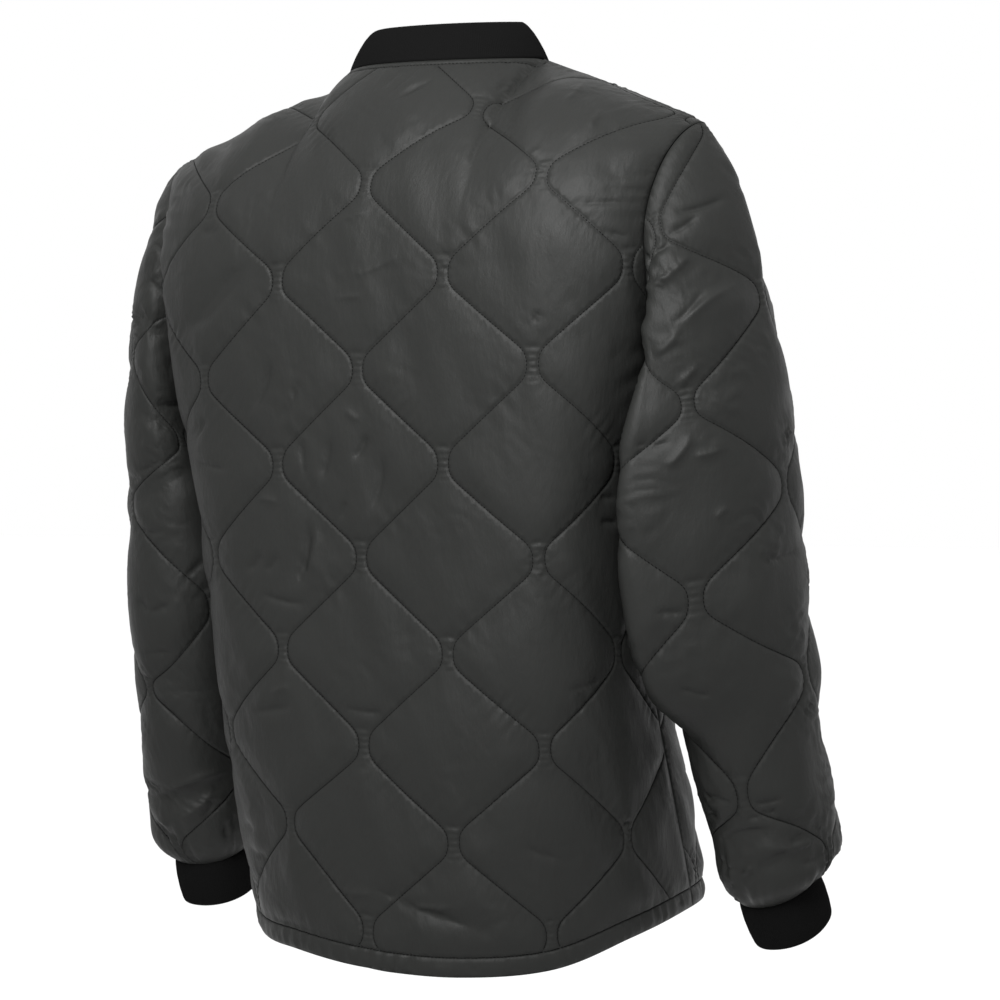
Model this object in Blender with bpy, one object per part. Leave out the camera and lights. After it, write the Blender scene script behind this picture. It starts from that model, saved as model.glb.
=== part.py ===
"""Quilted zip jacket, filled out as if worn, with rib-knit collar and cuffs.

Metres, +Z up. The wearer faces -Y and the wearer's left is +X. The origin is the middle of the back
neck seam's height, on the jacket's middle plane, where the shoulders and the neck hold the jacket.
Each cut piece is drawn flat, as a cutter lays it out: x runs across the cloth and y runs down it. It is
then laid on a form, the surface that the worn cloth follows, and made into a closed wall.
"""

import math

import bmesh
import bpy
import numpy as np
from mathutils import Vector
from mathutils.geometry import delaunay_2d_cdt

# Cloth
SEAM_GAP = 0.0003
ARMHOLE_GAP = 0.0007  # the sleeve's share, a little more where the armhole turns under the arm
WALL = 0.0026  # cloth and filling where a seam or a quilting stitch presses them together
PUFF = 0.0036  # how far a quilted cell swells over its stitches
PUFF_REACH = 0.034  # distance from a stitch at which the cell is at its full height
# The share of that height on the torso, which is less where the cloth lies tight over the shoulders
FULLNESS_COLUMNS = ("down", "share")
FULLNESS = ((0.05, 0.50), (0.20, 0.60), (0.40, 0.80), (0.60, 0.90))
RIB_RISE = 0.0007

# Quilting: zigzag stitch lines that come close to each other at necks
QUILT_ACROSS = 0.075  # between two neighbouring columns of necks
QUILT_DOWN = 0.147  # between two necks of a column
NECK_HALF_GAP = 0.0045
NECK_HALF_LENGTH = 0.009
BACK_NECK_DOWN = 0.101  # first neck of the centre back column
OUTSIDE_STEP = 0.025  # spacing of the points inside the quilted cells
INSIDE_STEP = 0.042  # spacing of the points on the plain inside
EDGE_STEP = 0.019

# Torso sections. Squareness 2 is an ellipse, and more is boxier. The side seam is where the section's
# angle, from centre back, reaches the given degrees.
TORSO_COLUMNS = (
    "down", "half_width", "widest", "back", "front", "square_back", "square_front", "side_seam",
)
TORSO = (
    (0.050, 0.236, -0.004, 0.104, -0.118, 3.4, 2.5, 90),
    (0.130, 0.231, -0.004, 0.115, -0.132, 3.6, 2.5, 90),
    (0.200, 0.219, -0.006, 0.120, -0.140, 3.8, 2.4, 90),
    (0.270, 0.203, -0.008, 0.120, -0.146, 3.9, 2.3, 90),
    (0.350, 0.188, -0.010, 0.117, -0.152, 3.9, 2.3, 91),
    (0.420, 0.182, -0.014, 0.113, -0.160, 3.6, 2.3, 92),
    (0.500, 0.180, -0.024, 0.112, -0.172, 3.1, 2.3, 94),
    (0.580, 0.181, -0.044, 0.109, -0.200, 2.6, 2.5, 96),
    (0.660, 0.180, -0.070, 0.105, -0.234, 2.3, 2.6, 98),
    (0.740, 0.178, -0.092, 0.102, -0.258, 2.1, 2.6, 100),
)
HEM_COLUMNS = ("arc", "down")
HEM = ((0.000, 0.718), (0.075, 0.721), (0.150, 0.716), (0.225, 0.696), (0.300, 0.684), (0.550, 0.680))

# How the worn jacket hangs unevenly: a lift that grows from one x to another, and from one depth to
# another. The left shoulder sits low, and the left of the hem sits high.
SETTLE = (  # pieces, lift, from x, to x, from down, to down
    ("all", -0.010, 0.030, 0.170, 0.420, 0.140),
    ("all", 0.004, -0.050, -0.180, 0.420, 0.140),
    ("torso", 0.013, -0.020, 0.090, 0.450, 0.700),
)

# Neck seam, shoulders and armholes
NECK_HALF_WIDTH = 0.086
NECK_BACK = 0.042
NECK_FRONT = -0.110
NECK_WIDEST = -0.030  # how far forward the neck seam meets the shoulder seams
NECK_SIDE_RISE = 0.004
NECK_FRONT_DROP = 0.066
SHOULDER_X = 0.240
SHOULDER_Y = -0.003
SHOULDER_DROP = 0.060
BLADE_DOWN = 0.170  # below this the back hangs straight, and above it the cloth turns over the shoulder
NECK_LEAN = 52  # degrees by which the cloth beside the neck already slopes
NECK_LEAN_REACH = 0.066
# The share is of the way down from the shoulder point to the underarm
ARMHOLE_COLUMNS = ("share", "back_across", "front_across")
ARMHOLE = (
    (0.00, 0.240, 0.240), (0.25, 0.237, 0.222), (0.50, 0.239, 0.212), (0.75, 0.255, 0.226),
    (0.90, 0.272, 0.248),
)
UNDERARM_DOWN = 0.285
FRONT_EDGE = 0.0045  # from the middle plane to each front's edge beside the zip

# Left sleeve sections below its head, down from the shoulder point: the middle, and the reach outwards,
# inwards and to the back or front. The right sleeve mirrors it.
SLEEVE_COLUMNS = ("along", "x", "y", "z", "outer", "inner", "depth")
SLEEVE = (
    (0.300, 0.2390, -0.0240, -0.350, 0.0550, 0.0385, 0.0810),
    (0.350, 0.2440, -0.0262, -0.400, 0.0525, 0.0470, 0.0760),
    (0.400, 0.2500, -0.0330, -0.449, 0.0500, 0.0500, 0.0690),
    (0.450, 0.2560, -0.0470, -0.498, 0.0475, 0.0475, 0.0620),
    (0.500, 0.2603, -0.0550, -0.547, 0.0440, 0.0440, 0.0560),
    (0.545, 0.2648, -0.0715, -0.590, 0.0450, 0.0450, 0.0560),
    (0.575, 0.2675, -0.0780, -0.619, 0.0450, 0.0440, 0.0550),
    (0.600, 0.2685, -0.0825, -0.643, 0.0410, 0.0370, 0.0450),
    (0.612, 0.2668, -0.0840, -0.655, 0.0305, 0.0305, 0.0350),
)
SLEEVE_SQUARENESS = 2.2
ELBOW_LEAN = {"left": -0.012, "right": 0.0}  # how far the elbow is held back, or forward where negative
ELBOW_LEVELS = (0.32, 0.50)  # the lean is full above the first and gone below the second
# The cloth of an upper sleeve stands out behind the arm, between its back and its underarm
BEHIND_OUT = {"left": 0.0, "right": 0.038}
BEHIND_TURN, BEHIND_REACH = 2.0, 0.65  # radians round from the outer line
BEHIND_INWARD = 0.3  # and in towards the body, as a share of that
BEHIND_LEVELS = (0.40, 0.50)
OUTER_MORE = {"left": 0.001, "right": 0.006}  # how much further each sleeve reaches outwards, above its end
OUTER_LEVELS = (0.44, 0.60)
# How far each sleeve's end and its cuff turn outwards and forwards, as a share of the way down
WRIST_TURN = {"left": (0.10, -0.20), "right": (0.26, -0.34)}
WRIST_START = 0.560
# The cut is wider than the worn sleeve, and gathers at the cuff
SLEEVE_CUT_COLUMNS = ("along", "half_width")
SLEEVE_CUT = ((0.300, 0.214), (0.400, 0.192), (0.500, 0.168), (0.575, 0.155), (0.612, 0.148))
CAP_DEPTH = 0.165
# How the cloth leaves the armhole, at shares of the way from the shoulder point to the underarm
LEAVE_COLUMNS = ("share", "outward", "aside", "down")
LEAVE = (
    (0.00, 0.50, 0.00, 0.80), (0.25, 0.44, 0.16, 0.84), (0.50, 0.40, 0.22, 0.87),
    (0.75, 0.62, 0.16, 0.85), (1.00, 1.20, 0.00, 0.70),
)
SLEEVE_NECK_DOWN = {"left": 0.085, "right": 0.0}

# The largest folds, as lines on the flat cloth with a half width, and a rise that is below nothing in a
# trough. They fade out at the stitches.
FOLDS = (  # piece, from x, from down, to x, to down, half width, rise
    ("back", -0.168, 0.204, -0.110, 0.158, 0.012, -0.0034),
    ("back", 0.034, 0.664, 0.094, 0.682, 0.010, -0.0024),
    ("sleeve_right", 0.118, 0.568, 0.054, 0.554, 0.011, -0.0032),
    ("sleeve_right", 0.076, 0.582, 0.000, 0.568, 0.010, -0.0030),
    ("sleeve_right", 0.134, 0.112, 0.052, 0.098, 0.013, 0.0028),
    ("sleeve_right", 0.162, 0.156, 0.026, 0.146, 0.012, 0.0026),
    ("sleeve_right", -0.120, 0.300, -0.052, 0.280, 0.012, -0.0030),
    ("sleeve_right", -0.110, 0.566, -0.034, 0.556, 0.010, -0.0028),
    ("sleeve_left", 0.078, 0.124, 0.146, 0.128, 0.012, -0.0034),
    ("sleeve_left", 0.110, 0.206, 0.172, 0.220, 0.012, -0.0034),
    ("sleeve_left", 0.098, 0.296, 0.156, 0.262, 0.012, -0.0034),
    ("sleeve_left", 0.042, 0.552, 0.140, 0.530, 0.011, -0.0030),
    ("sleeve_left", -0.124, 0.288, -0.048, 0.274, 0.012, -0.0030),
    ("front_left", 0.170, 0.300, 0.226, 0.240, 0.012, -0.0030),
    ("front_right", -0.160, 0.330, -0.222, 0.262, 0.012, -0.0030),
)
FOLD_STEP = 0.020
SLEEVE_SEAM_STEPS = 24
CUFF_EDGE_STEPS = 20
CUFF_FINE = 8  # rib faces between two inside columns: four ribs
CUFF_ROWS = (  # down, bulge, outside, inside
    (0.000, 0.0000, 0.0000, 0.0024),
    (0.014, 0.0012, 0.0002, 0.0022),
    (0.040, -0.0005, 0.0000, 0.0018),
)

# Collar
COLLAR_HEIGHT = 0.037
COLLAR_TAPER = 0.022
COLLAR_END = 0.0010  # from the middle plane to the collar's open ends
COLLAR_STEPS = 48
COLLAR_FINE = 8
COLLAR_ROWS = (  # height, outside, inside
    (0.000, 0.0002, 0.0024),
    (0.013, 0.0018, 0.0008),
    (0.026, 0.0018, 0.0008),
    (0.034, 0.0002, 0.0022),
    (0.038, -0.0016, 0.0030),
)

# Zip, with depths measured back from the fronts' outer face
FRONT_NECK_DOWN = 0.140
TAPE_EDGE = 0.0105
TAPE_STEP = 0.022
TAPE_FRONT, TAPE_BACK = 0.0034, 0.0044
TEETH_FRONT, TEETH_BACK, TEETH_WIDTH = 0.0024, 0.0054, 0.0022
SLIDER_DOWN = 0.066
SLIDER_WIDTH = 0.0078
SLIDER_FRONT = (-0.0020, -0.0004)  # outwards from the fronts' outer face
SLIDER_BACK = (-0.0071, -0.0058)
SLIDER_POST = 0.0012
ARCH_OUT, ARCH_WIDTH, ARCH_HALF, ARCH_BAR = 0.0036, 0.0018, 0.0036, 0.0010
HINGE_OUT = 0.0011
SET_IN = 0.00008  # keeps the faces of joined shapes out of one plane
PULL_BAR = 0.0008
PULL_EYE_HALF, PULL_WIDTH, PULL_THICK = 0.0016, 0.0072, 0.0014
PULL_EYE_END, PULL_LENGTH = 0.0062, 0.0260

SHELL_COLOUR, SHELL_ROUGHNESS = (0.045, 0.047, 0.046), 0.5
RIB_COLOUR, RIB_ROUGHNESS = (0.012, 0.012, 0.012), 0.9
TAPE_COLOUR = (0.015, 0.015, 0.015)
METAL_COLOUR = (0.10, 0.10, 0.10)

TORSO_PIECES = ("back", "front_left", "front_right")
NECK_STEPS = 16
TABLE_STEP = 0.005
RING_STEPS = 361


def column(columns, rows, name):
    return np.array([row[columns.index(name)] for row in rows], float)


def smooth(knots, values, at):
    """A smooth curve through a table's values, held level beyond its ends."""
    slopes = np.gradient(values, knots)
    at = np.clip(at, knots[0], knots[-1])
    i = np.clip(np.searchsorted(knots, at) - 1, 0, len(knots) - 2)
    span = knots[i + 1] - knots[i]
    t = (at - knots[i]) / span
    start = (1 + 2 * t) * (1 - t) ** 2 * values[i] + t * (1 - t) ** 2 * span * slopes[i]
    end = t * t * (3 - 2 * t) * values[i + 1] + t * t * (t - 1) * span * slopes[i + 1]
    return start + end


def torso(name, down):
    knots = column(TORSO_COLUMNS, TORSO, "down")
    return smooth(knots, column(TORSO_COLUMNS, TORSO, name), down)


def sleeve(name, along):
    knots = column(SLEEVE_COLUMNS, SLEEVE, "along")
    return smooth(knots, column(SLEEVE_COLUMNS, SLEEVE, name), along)


def hem_down(arc):
    return smooth(column(HEM_COLUMNS, HEM, "arc"), column(HEM_COLUMNS, HEM, "down"), arc)


def settle(points, is_torso=False):
    """Where points lie once the worn jacket has settled unevenly."""
    points = np.array(points, float)
    lift = np.zeros(len(points))
    for pieces, height, from_x, to_x, from_down, to_down in SETTLE:
        if pieces == "torso" and not is_torso:
            continue
        across = np.clip((points[:, 0] - from_x) / (to_x - from_x), 0, 1)
        down = np.clip((-points[:, 2] - from_down) / (to_down - from_down), 0, 1)
        lift += height * across**2 * (3 - 2 * across) * down**2 * (3 - 2 * down)
    points[:, 2] += lift
    return points


def unit(vectors):
    return vectors / np.linalg.norm(vectors, axis=-1, keepdims=True)


def arc_lengths(points):
    steps = np.linalg.norm(np.diff(points, axis=0), axis=1)
    return np.concatenate([[0.0], np.cumsum(steps)])


def along_line(points, lengths, at):
    """Points at the given lengths along a line of points."""
    return np.stack([np.interp(at, lengths, points[:, k]) for k in range(points.shape[1])], axis=-1)


class Form:
    """The surface that a cut piece follows: a place in space for each place on the flat cloth."""

    def __init__(self, across, down, points):
        self.across, self.down, self.points = across, down, points

    def at(self, flat):
        """Places in space for rows of flat x and y."""
        j = np.interp(flat[:, 0], self.across, np.arange(len(self.across)))
        i = np.interp(flat[:, 1], self.down, np.arange(len(self.down)))
        j = np.minimum(j, len(self.across) - 1.001)
        i = np.minimum(i, len(self.down) - 1.001)
        low_i, low_j = i.astype(int), j.astype(int)
        u, v = (i - low_i)[:, None], (j - low_j)[:, None]
        upper = (1 - v) * self.points[low_i, low_j] + v * self.points[low_i, low_j + 1]
        lower = (1 - v) * self.points[low_i + 1, low_j] + v * self.points[low_i + 1, low_j + 1]
        return (1 - u) * upper + u * lower


def normals(place, flat, step=0.003):
    """Outward directions of a surface whose flat cloth is drawn as seen from outside."""
    right, below = np.array([step, 0.0]), np.array([0.0, step])
    across = place(flat + right) - place(flat - right)
    down = place(flat + below) - place(flat - below)
    return unit(np.cross(down, across))


# ---------------------------------------------------------------- torso form


def half_section(down):
    """Half a torso section, from centre back round the wearer's left to centre front."""
    turn = np.linspace(0, math.pi, RING_STEPS)
    behind = turn <= math.pi / 2
    squareness = np.where(behind, torso("square_back", down), torso("square_front", down))
    widest = torso("widest", down)
    depth = np.where(behind, torso("back", down) - widest, widest - torso("front", down))
    cosine = np.cos(turn)
    x = torso("half_width", down) * np.abs(np.sin(turn)) ** (2 / squareness)
    y = widest + depth * np.sign(cosine) * np.abs(cosine) ** (2 / squareness)
    return np.stack([x, y, np.full_like(x, -down)], axis=-1)


def side_seam_arc(down):
    """Arc from centre back to the side seam, and the whole half section's arc."""
    points = half_section(down)
    lengths = arc_lengths(points)
    turn = np.linspace(0, 180, RING_STEPS)
    return np.interp(torso("side_seam", down), turn, lengths), lengths[-1]


def top_line(x, front):
    """The neck seam and then the shoulder seam, seen from above, at a distance x from the middle."""
    depth = NECK_FRONT if front else NECK_BACK
    inside = np.clip(x / NECK_HALF_WIDTH, 0, 1)
    bow = np.sqrt(1 - inside**2)
    drop = NECK_FRONT_DROP * bow**1.5 if front else NECK_SIDE_RISE * bow
    neck_z = NECK_SIDE_RISE - drop
    beyond = np.clip((x - NECK_HALF_WIDTH) / (SHOULDER_X - NECK_HALF_WIDTH), 0, None)
    neck_y = NECK_WIDEST + (depth - NECK_WIDEST) * bow
    y = neck_y + (SHOULDER_Y - NECK_WIDEST) * np.clip(beyond, 0, 1)
    z = neck_z - (SHOULDER_DROP + NECK_SIDE_RISE) * beyond
    return np.stack([x, y, z], axis=-1)


def upper_column(x, foot, front):
    """One column of cloth from the blade level up to the neck or shoulder, with its arc lengths."""
    top = top_line(np.array(x), front)
    beside_neck = np.clip(1 - (x - NECK_HALF_WIDTH * 0.8) / NECK_LEAN_REACH, 0, 1)
    lean = math.radians(NECK_LEAN) * beside_neck**2 * (3 - 2 * beside_neck)
    angle = np.linspace(math.pi / 2, lean, 80)
    rise = np.cos(angle) / math.cos(lean)
    forward = (1 - np.sin(angle)) / (1 - math.sin(lean))
    points = np.stack(
        [
            foot[0] + (top[0] - foot[0]) * rise**2,
            foot[1] + (top[1] - foot[1]) * forward,
            foot[2] + (top[2] - foot[2]) * rise,
        ],
        axis=-1,
    )
    beyond = points[-1] + unit(points[-1] - points[-3]) * 0.05
    points = np.vstack([points, beyond])
    return points, arc_lengths(points)


def neck_steps(front):
    """Angles from the middle of the front or back to the neck edge's points, up to the shoulder seam."""
    start = math.asin((FRONT_EDGE if front else 0) / NECK_HALF_WIDTH)
    return np.linspace(start, math.pi / 2, NECK_STEPS + 1)


def torso_form(front):
    """Form of half the back, measured from centre back, or of a front, measured from centre front."""
    neck_columns = NECK_HALF_WIDTH * np.sin(neck_steps(front))
    across = np.union1d(np.arange(0, 0.34, TABLE_STEP), neck_columns)
    down = np.arange(-0.12, 0.76, TABLE_STEP)
    points = np.zeros((len(down), len(across), 3))
    for i, level in enumerate(down):
        section = half_section(max(level, BLADE_DOWN))
        if front:
            section = section[::-1]
        points[i] = along_line(section, arc_lengths(section), across)
    start = np.searchsorted(down, BLADE_DOWN)
    for j, x in enumerate(across):
        line, lengths = upper_column(x, points[start, j], front)
        points[:start, j] = along_line(line, lengths, down[start] - down[:start])
    return Form(across, down, points)


def top_down(form, x, front):
    """Where the neck or shoulder seam lies on the flat cloth, at a distance x from the middle."""
    foot = form.at(np.array([[x, BLADE_DOWN]]))[0]
    line, lengths = upper_column(x, foot, front)
    return BLADE_DOWN - lengths[-2]


BACK_FORM = torso_form(front=False)
FRONT_FORM = torso_form(front=True)


def place_back(flat):
    """The back's cloth, seen from behind: flat x runs from the wearer's left to the right."""
    points = BACK_FORM.at(np.abs(flat) * [1, 0] + flat * [0, 1])
    points[:, 0] *= -np.sign(flat[:, 0])
    return points


def place_front(flat):
    """Both fronts' cloth, seen from the front: flat x runs from the wearer's right to the left."""
    points = FRONT_FORM.at(np.abs(flat) * [1, 0] + flat * [0, 1])
    points[:, 0] *= np.sign(flat[:, 0])
    return points


def armhole_flat(front, count):
    """The armhole edge on the flat cloth, from the shoulder point to the underarm, evenly spaced."""
    form = FRONT_FORM if front else BACK_FORM
    arc, total = side_seam_arc(UNDERARM_DOWN)
    end = total - arc if front else arc
    shares = np.append(column(ARMHOLE_COLUMNS, ARMHOLE, "share"), 1.0)
    name = "front_across" if front else "back_across"
    across = np.append(column(ARMHOLE_COLUMNS, ARMHOLE, name), end)
    start = top_down(form, SHOULDER_X, front)
    share = np.linspace(0, 1, 200)
    line = np.stack([smooth(shares, across, share), start + (UNDERARM_DOWN - start) * share], axis=-1)
    lengths = arc_lengths(line)
    return along_line(line, lengths, np.linspace(0, lengths[-1], count))


ARMHOLE_POINTS = 17
SHARE_STEPS = 97
HEAD_FOOT = SLEEVE[0][0]
SLEEVE_LENGTH = SLEEVE[-1][0]
SLEEVE_TABLE_TOP = -0.03
ARMHOLE_FLAT = {"back": armhole_flat(False, ARMHOLE_POINTS), "front": armhole_flat(True, ARMHOLE_POINTS)}
ARMHOLE_SPACE = {
    "back": BACK_FORM.at(ARMHOLE_FLAT["back"]),
    "front": FRONT_FORM.at(ARMHOLE_FLAT["front"]),
}
for end in (0, -1):
    meeting = (ARMHOLE_SPACE["back"][end] + ARMHOLE_SPACE["front"][end]) / 2
    ARMHOLE_SPACE["back"][end] = ARMHOLE_SPACE["front"][end] = meeting


# ---------------------------------------------------------------- sleeve form


def sleeve_ring(along, side):
    """The back and front halves of a sleeve's section, drawn as a left one, from outer line to underarm."""
    centre = np.array([sleeve("x", along), sleeve("y", along), sleeve("z", along)])
    upper, lower = ELBOW_LEVELS
    share = np.clip((lower - along) / (lower - upper), 0, 1)
    centre[1] += ELBOW_LEAN[side] * share**2 * (3 - 2 * share)
    step = 0.02
    axis = np.array([sleeve(name, along + step) - sleeve(name, along - step) for name in "xyz"])
    axis = axis / np.linalg.norm(axis)
    share = np.clip((along - WRIST_START) / (SLEEVE_LENGTH - WRIST_START), 0, 1)
    axis += np.array([*WRIST_TURN[side], 0.0]) * share**2
    axis = axis / np.linalg.norm(axis)
    outward = np.array([1.0, 0, 0]) - axis[0] * axis
    outward /= np.linalg.norm(outward)
    backward = np.cross(outward, axis)
    turn = np.linspace(0, math.pi, 121)
    power = 2 / SLEEVE_SQUARENESS
    upper, lower = OUTER_LEVELS
    more = OUTER_MORE[side] * np.clip((lower - along) / (lower - upper), 0, 1)
    reach = np.where(turn < math.pi / 2, sleeve("outer", along) + more, sleeve("inner", along))
    wide = reach * np.sign(np.cos(turn)) * np.abs(np.cos(turn)) ** power
    deep = sleeve("depth", along) * np.abs(np.sin(turn)) ** power
    upper, lower = BEHIND_LEVELS
    share = np.clip((lower - along) / (lower - upper), 0, 1)
    behind = np.exp(-(((turn - BEHIND_TURN) / BEHIND_REACH) ** 2)) * np.sin(turn) ** 0.5
    behind *= BEHIND_OUT[side] * share**2 * (3 - 2 * share)
    wide_back = wide - BEHIND_INWARD * behind
    back = centre + wide_back[:, None] * outward + (deep + behind)[:, None] * backward
    front = centre + wide[:, None] * outward - deep[:, None] * backward
    return back, front


def whole_ring(along, side):
    """A section as points at even shares of the way round, front underarm to back underarm."""
    back, front = sleeve_ring(along, side)
    halves = []
    for half in (front, back):
        lengths = arc_lengths(half)
        halves.append(along_line(half, lengths, np.linspace(0, lengths[-1], SHARE_STEPS)))
    return np.vstack([halves[0][:0:-1], halves[1]])


def cut_half_width(along):
    """Half the sleeve's cut width at a place down its cloth."""
    knots = column(SLEEVE_CUT_COLUMNS, SLEEVE_CUT, "along")
    return smooth(knots, column(SLEEVE_CUT_COLUMNS, SLEEVE_CUT, "half_width"), along)


def cap_along(share):
    """Where the sleeve's head ends, as the share of the way round from its top line to the underarm."""
    return CAP_DEPTH * (1 - np.cos(math.pi * np.abs(share))) / 2


def head_flat(sign):
    """The sleeve head's edge on the flat cloth, from the top line to the underarm: back 1, front -1."""
    share = np.linspace(0, 1, ARMHOLE_POINTS) * sign
    return np.stack([share * cut_half_width(cap_along(share)), cap_along(share)], axis=-1)


def leaving(share):
    """The direction in which the cloth leaves the armhole."""
    knots = column(LEAVE_COLUMNS, LEAVE, "share")
    outward, aside, down = (
        smooth(knots, column(LEAVE_COLUMNS, LEAVE, name), np.abs(share)) for name in LEAVE_COLUMNS[1:]
    )
    return np.stack([outward, aside * np.sign(share), -down], axis=-1)


class SleeveForm:
    """A sleeve over flat cloth. Flat x is the way round, plus to the back, and flat y is the way down."""

    def __init__(self, side):
        self.mirror = -1 if side == "right" else 1
        self.share = np.linspace(-1, 1, 2 * SHARE_STEPS - 1)
        self.along = np.arange(SLEEVE_TABLE_TOP, SLEEVE_LENGTH + 0.02, TABLE_STEP)
        self.points = np.zeros((len(self.along), len(self.share), 3))
        first = HEAD_FOOT
        for i in np.flatnonzero(self.along > first):
            self.points[i] = whole_ring(self.along[i], side)
        foot = whole_ring(first, side)
        onward = (whole_ring(first + 0.01, side) - foot) / 0.01
        leave = leaving(self.share)
        armhole = self.armhole()
        for j, share in enumerate(self.share):
            line, lengths = head_line(armhole[j], leave[j], foot[j], onward[j])
            start = cap_along(share)
            above = self.along[self.along <= first]
            at = (above - start) / (first - start)
            self.points[: len(above), j] = along_line(line, lengths, at)

    def armhole(self):
        """The armhole's points at the form's own shares of the way round."""
        points = np.vstack([ARMHOLE_SPACE["front"][:0:-1], ARMHOLE_SPACE["back"]])
        at = np.linspace(-1, 1, len(points))
        return np.stack([smooth(at, points[:, k], self.share) for k in range(3)], axis=-1)

    def ring_at(self, share, along):
        j = np.clip((share + 1) * (SHARE_STEPS - 1), 0, len(self.share) - 1.001)
        i = np.clip((along - SLEEVE_TABLE_TOP) / TABLE_STEP, 0, len(self.along) - 1.001)
        low_i, low_j = i.astype(int), j.astype(int)
        u, v = (i - low_i)[:, None], (j - low_j)[:, None]
        upper = (1 - v) * self.points[low_i, low_j] + v * self.points[low_i, low_j + 1]
        lower = (1 - v) * self.points[low_i + 1, low_j] + v * self.points[low_i + 1, low_j + 1]
        return ((1 - u) * upper + u * lower) * [self.mirror, 1, 1]

    def at(self, flat):
        share = np.clip(flat[:, 0] / cut_half_width(flat[:, 1]), -1, 1)
        return self.ring_at(share, flat[:, 1])


def head_line(start, leave, end, onward):
    """A line of cloth from the armhole down to the sleeve's first section, and its shares of the way."""
    chord = np.linalg.norm(end - start)
    t = np.linspace(0, 1, 40)[:, None]
    rise = (1 + 2 * t) * (1 - t) ** 2 * start + t * (1 - t) ** 2 * chord * leave
    fall = t * t * (3 - 2 * t) * end + t * t * (t - 1) * chord * onward
    line = rise + fall
    lengths = arc_lengths(line) / arc_lengths(line)[-1]
    before = start - leave * chord * 0.5
    return np.vstack([before, line]), np.append(-0.5 * chord / arc_lengths(line)[-1], lengths)


# ---------------------------------------------------------------- flat cloth


def line_between(start, end, step):
    """Points from start up to but not including end, no further apart than step."""
    start, end = np.array(start), np.array(end)
    count = max(1, math.ceil(np.linalg.norm(end - start) / step - 0.01))
    return [tuple(start + (end - start) * k / count) for k in range(count)]


def inset(outline, gaps):
    """The outline with each point moved inwards by its gap."""
    points = np.array(outline)
    after = np.roll(points, -1, axis=0)
    area = np.sum(points[:, 0] * after[:, 1] - after[:, 0] * points[:, 1])
    edges = (after - points) * np.sign(area)
    inward = unit(np.stack([-edges[:, 1], edges[:, 0]], axis=-1))
    mean = unit(inward + np.roll(inward, 1, axis=0))
    return points + mean * np.asarray(gaps)[:, None]


def inside_distance(points, outline):
    """Distance from each point to the outline, negative outside it."""
    inside = np.zeros(len(points), bool)
    nearest = np.full(len(points), np.inf)
    for a, b in zip(outline, np.roll(outline, -1, axis=0)):
        edge = b - a
        share = np.clip(((points - a) @ edge) / (edge @ edge), 0, 1)
        nearest = np.minimum(nearest, np.linalg.norm(points - a - share[:, None] * edge, axis=1))
        crosses = (a[1] > points[:, 1]) != (b[1] > points[:, 1])
        rise = np.where(edge[1] == 0, 1e-12, edge[1])
        inside ^= crosses & (points[:, 0] < a[0] + (points[:, 1] - a[1]) * edge[0] / rise)
    return np.where(inside, nearest, -nearest)


def stitch_path(gap_index, first_neck, low, high):
    """One zigzag stitch line between two columns of necks, from low to high down the cloth."""
    left = gap_index * QUILT_ACROSS + NECK_HALF_GAP
    right = (gap_index + 1) * QUILT_ACROSS - NECK_HALF_GAP
    phase = first_neck + (QUILT_DOWN / 2 if gap_index % 2 else 0)
    points = []
    for k in range(-12, 13):
        neck = phase + k * QUILT_DOWN / 2
        at_left = k % 2 == 0
        here, there = (left, right) if at_left else (right, left)
        points += [(here, neck - NECK_HALF_LENGTH), (here, neck + NECK_HALF_LENGTH)]
        leave, arrive = neck + NECK_HALF_LENGTH, neck + QUILT_DOWN / 2 - NECK_HALF_LENGTH
        points += [(here + (there - here) * t, leave + (arrive - leave) * t) for t in (1 / 3, 2 / 3)]
    return [point for point in points if low <= point[1] <= high]


def stitch_lines(outline, first_neck):
    """The stitch lines that lie on a piece, each as a run of points clear of its edge."""
    low, high = outline.min(axis=0), outline.max(axis=0)
    lines = []
    first, last = math.floor(low[0] / QUILT_ACROSS) - 1, math.ceil(high[0] / QUILT_ACROSS)
    for gap_index in range(first, last + 1):
        points = np.array(stitch_path(gap_index, first_neck, low[1], high[1]))
        kept = inside_distance(points, outline) > EDGE_STEP * 0.4
        run = []
        for point, keep in zip(points, kept):
            if keep:
                run.append(tuple(point))
                continue
            if len(run) > 1:
                lines.append(run)
            run = []
        if len(run) > 1:
            lines.append(run)
    return lines


def lattice(outline, step, clear):
    """Evenly spread points inside the outline, every other row set half a step over."""
    low, high = outline.min(axis=0), outline.max(axis=0)
    rows = []
    for i, y in enumerate(np.arange(low[1], high[1], step * 0.87)):
        xs = np.arange(math.floor(low[0] / step), high[0] / step + 1) * step + (step / 2 if i % 2 else 0)
        rows.append(np.stack([xs, np.full_like(xs, y)], axis=-1))
    points = np.vstack(rows)
    return points[inside_distance(points, outline) > clear]


def nearest_distance(points, others):
    """Distance from each point to the nearest of the others."""
    return np.min(np.linalg.norm(points[:, None] - others[None], axis=2), axis=1)


def stitch_distance(points, lines):
    """Distance from each point to the nearest stitch."""
    nearest = np.full(len(points), np.inf)
    for line in lines:
        for a, b in zip(np.array(line[:-1]), np.array(line[1:])):
            edge = b - a
            share = np.clip(((points - a) @ edge) / (edge @ edge), 0, 1)
            nearest = np.minimum(nearest, np.linalg.norm(points - a - share[:, None] * edge, axis=1))
    return nearest


def swell(distance):
    """The height of a quilted cell over its stitches, at a distance from the nearest stitch or seam."""
    near = np.clip(distance / PUFF_REACH, 0, 1)
    return PUFF * (1 - (1 - near) ** 2)


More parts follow.
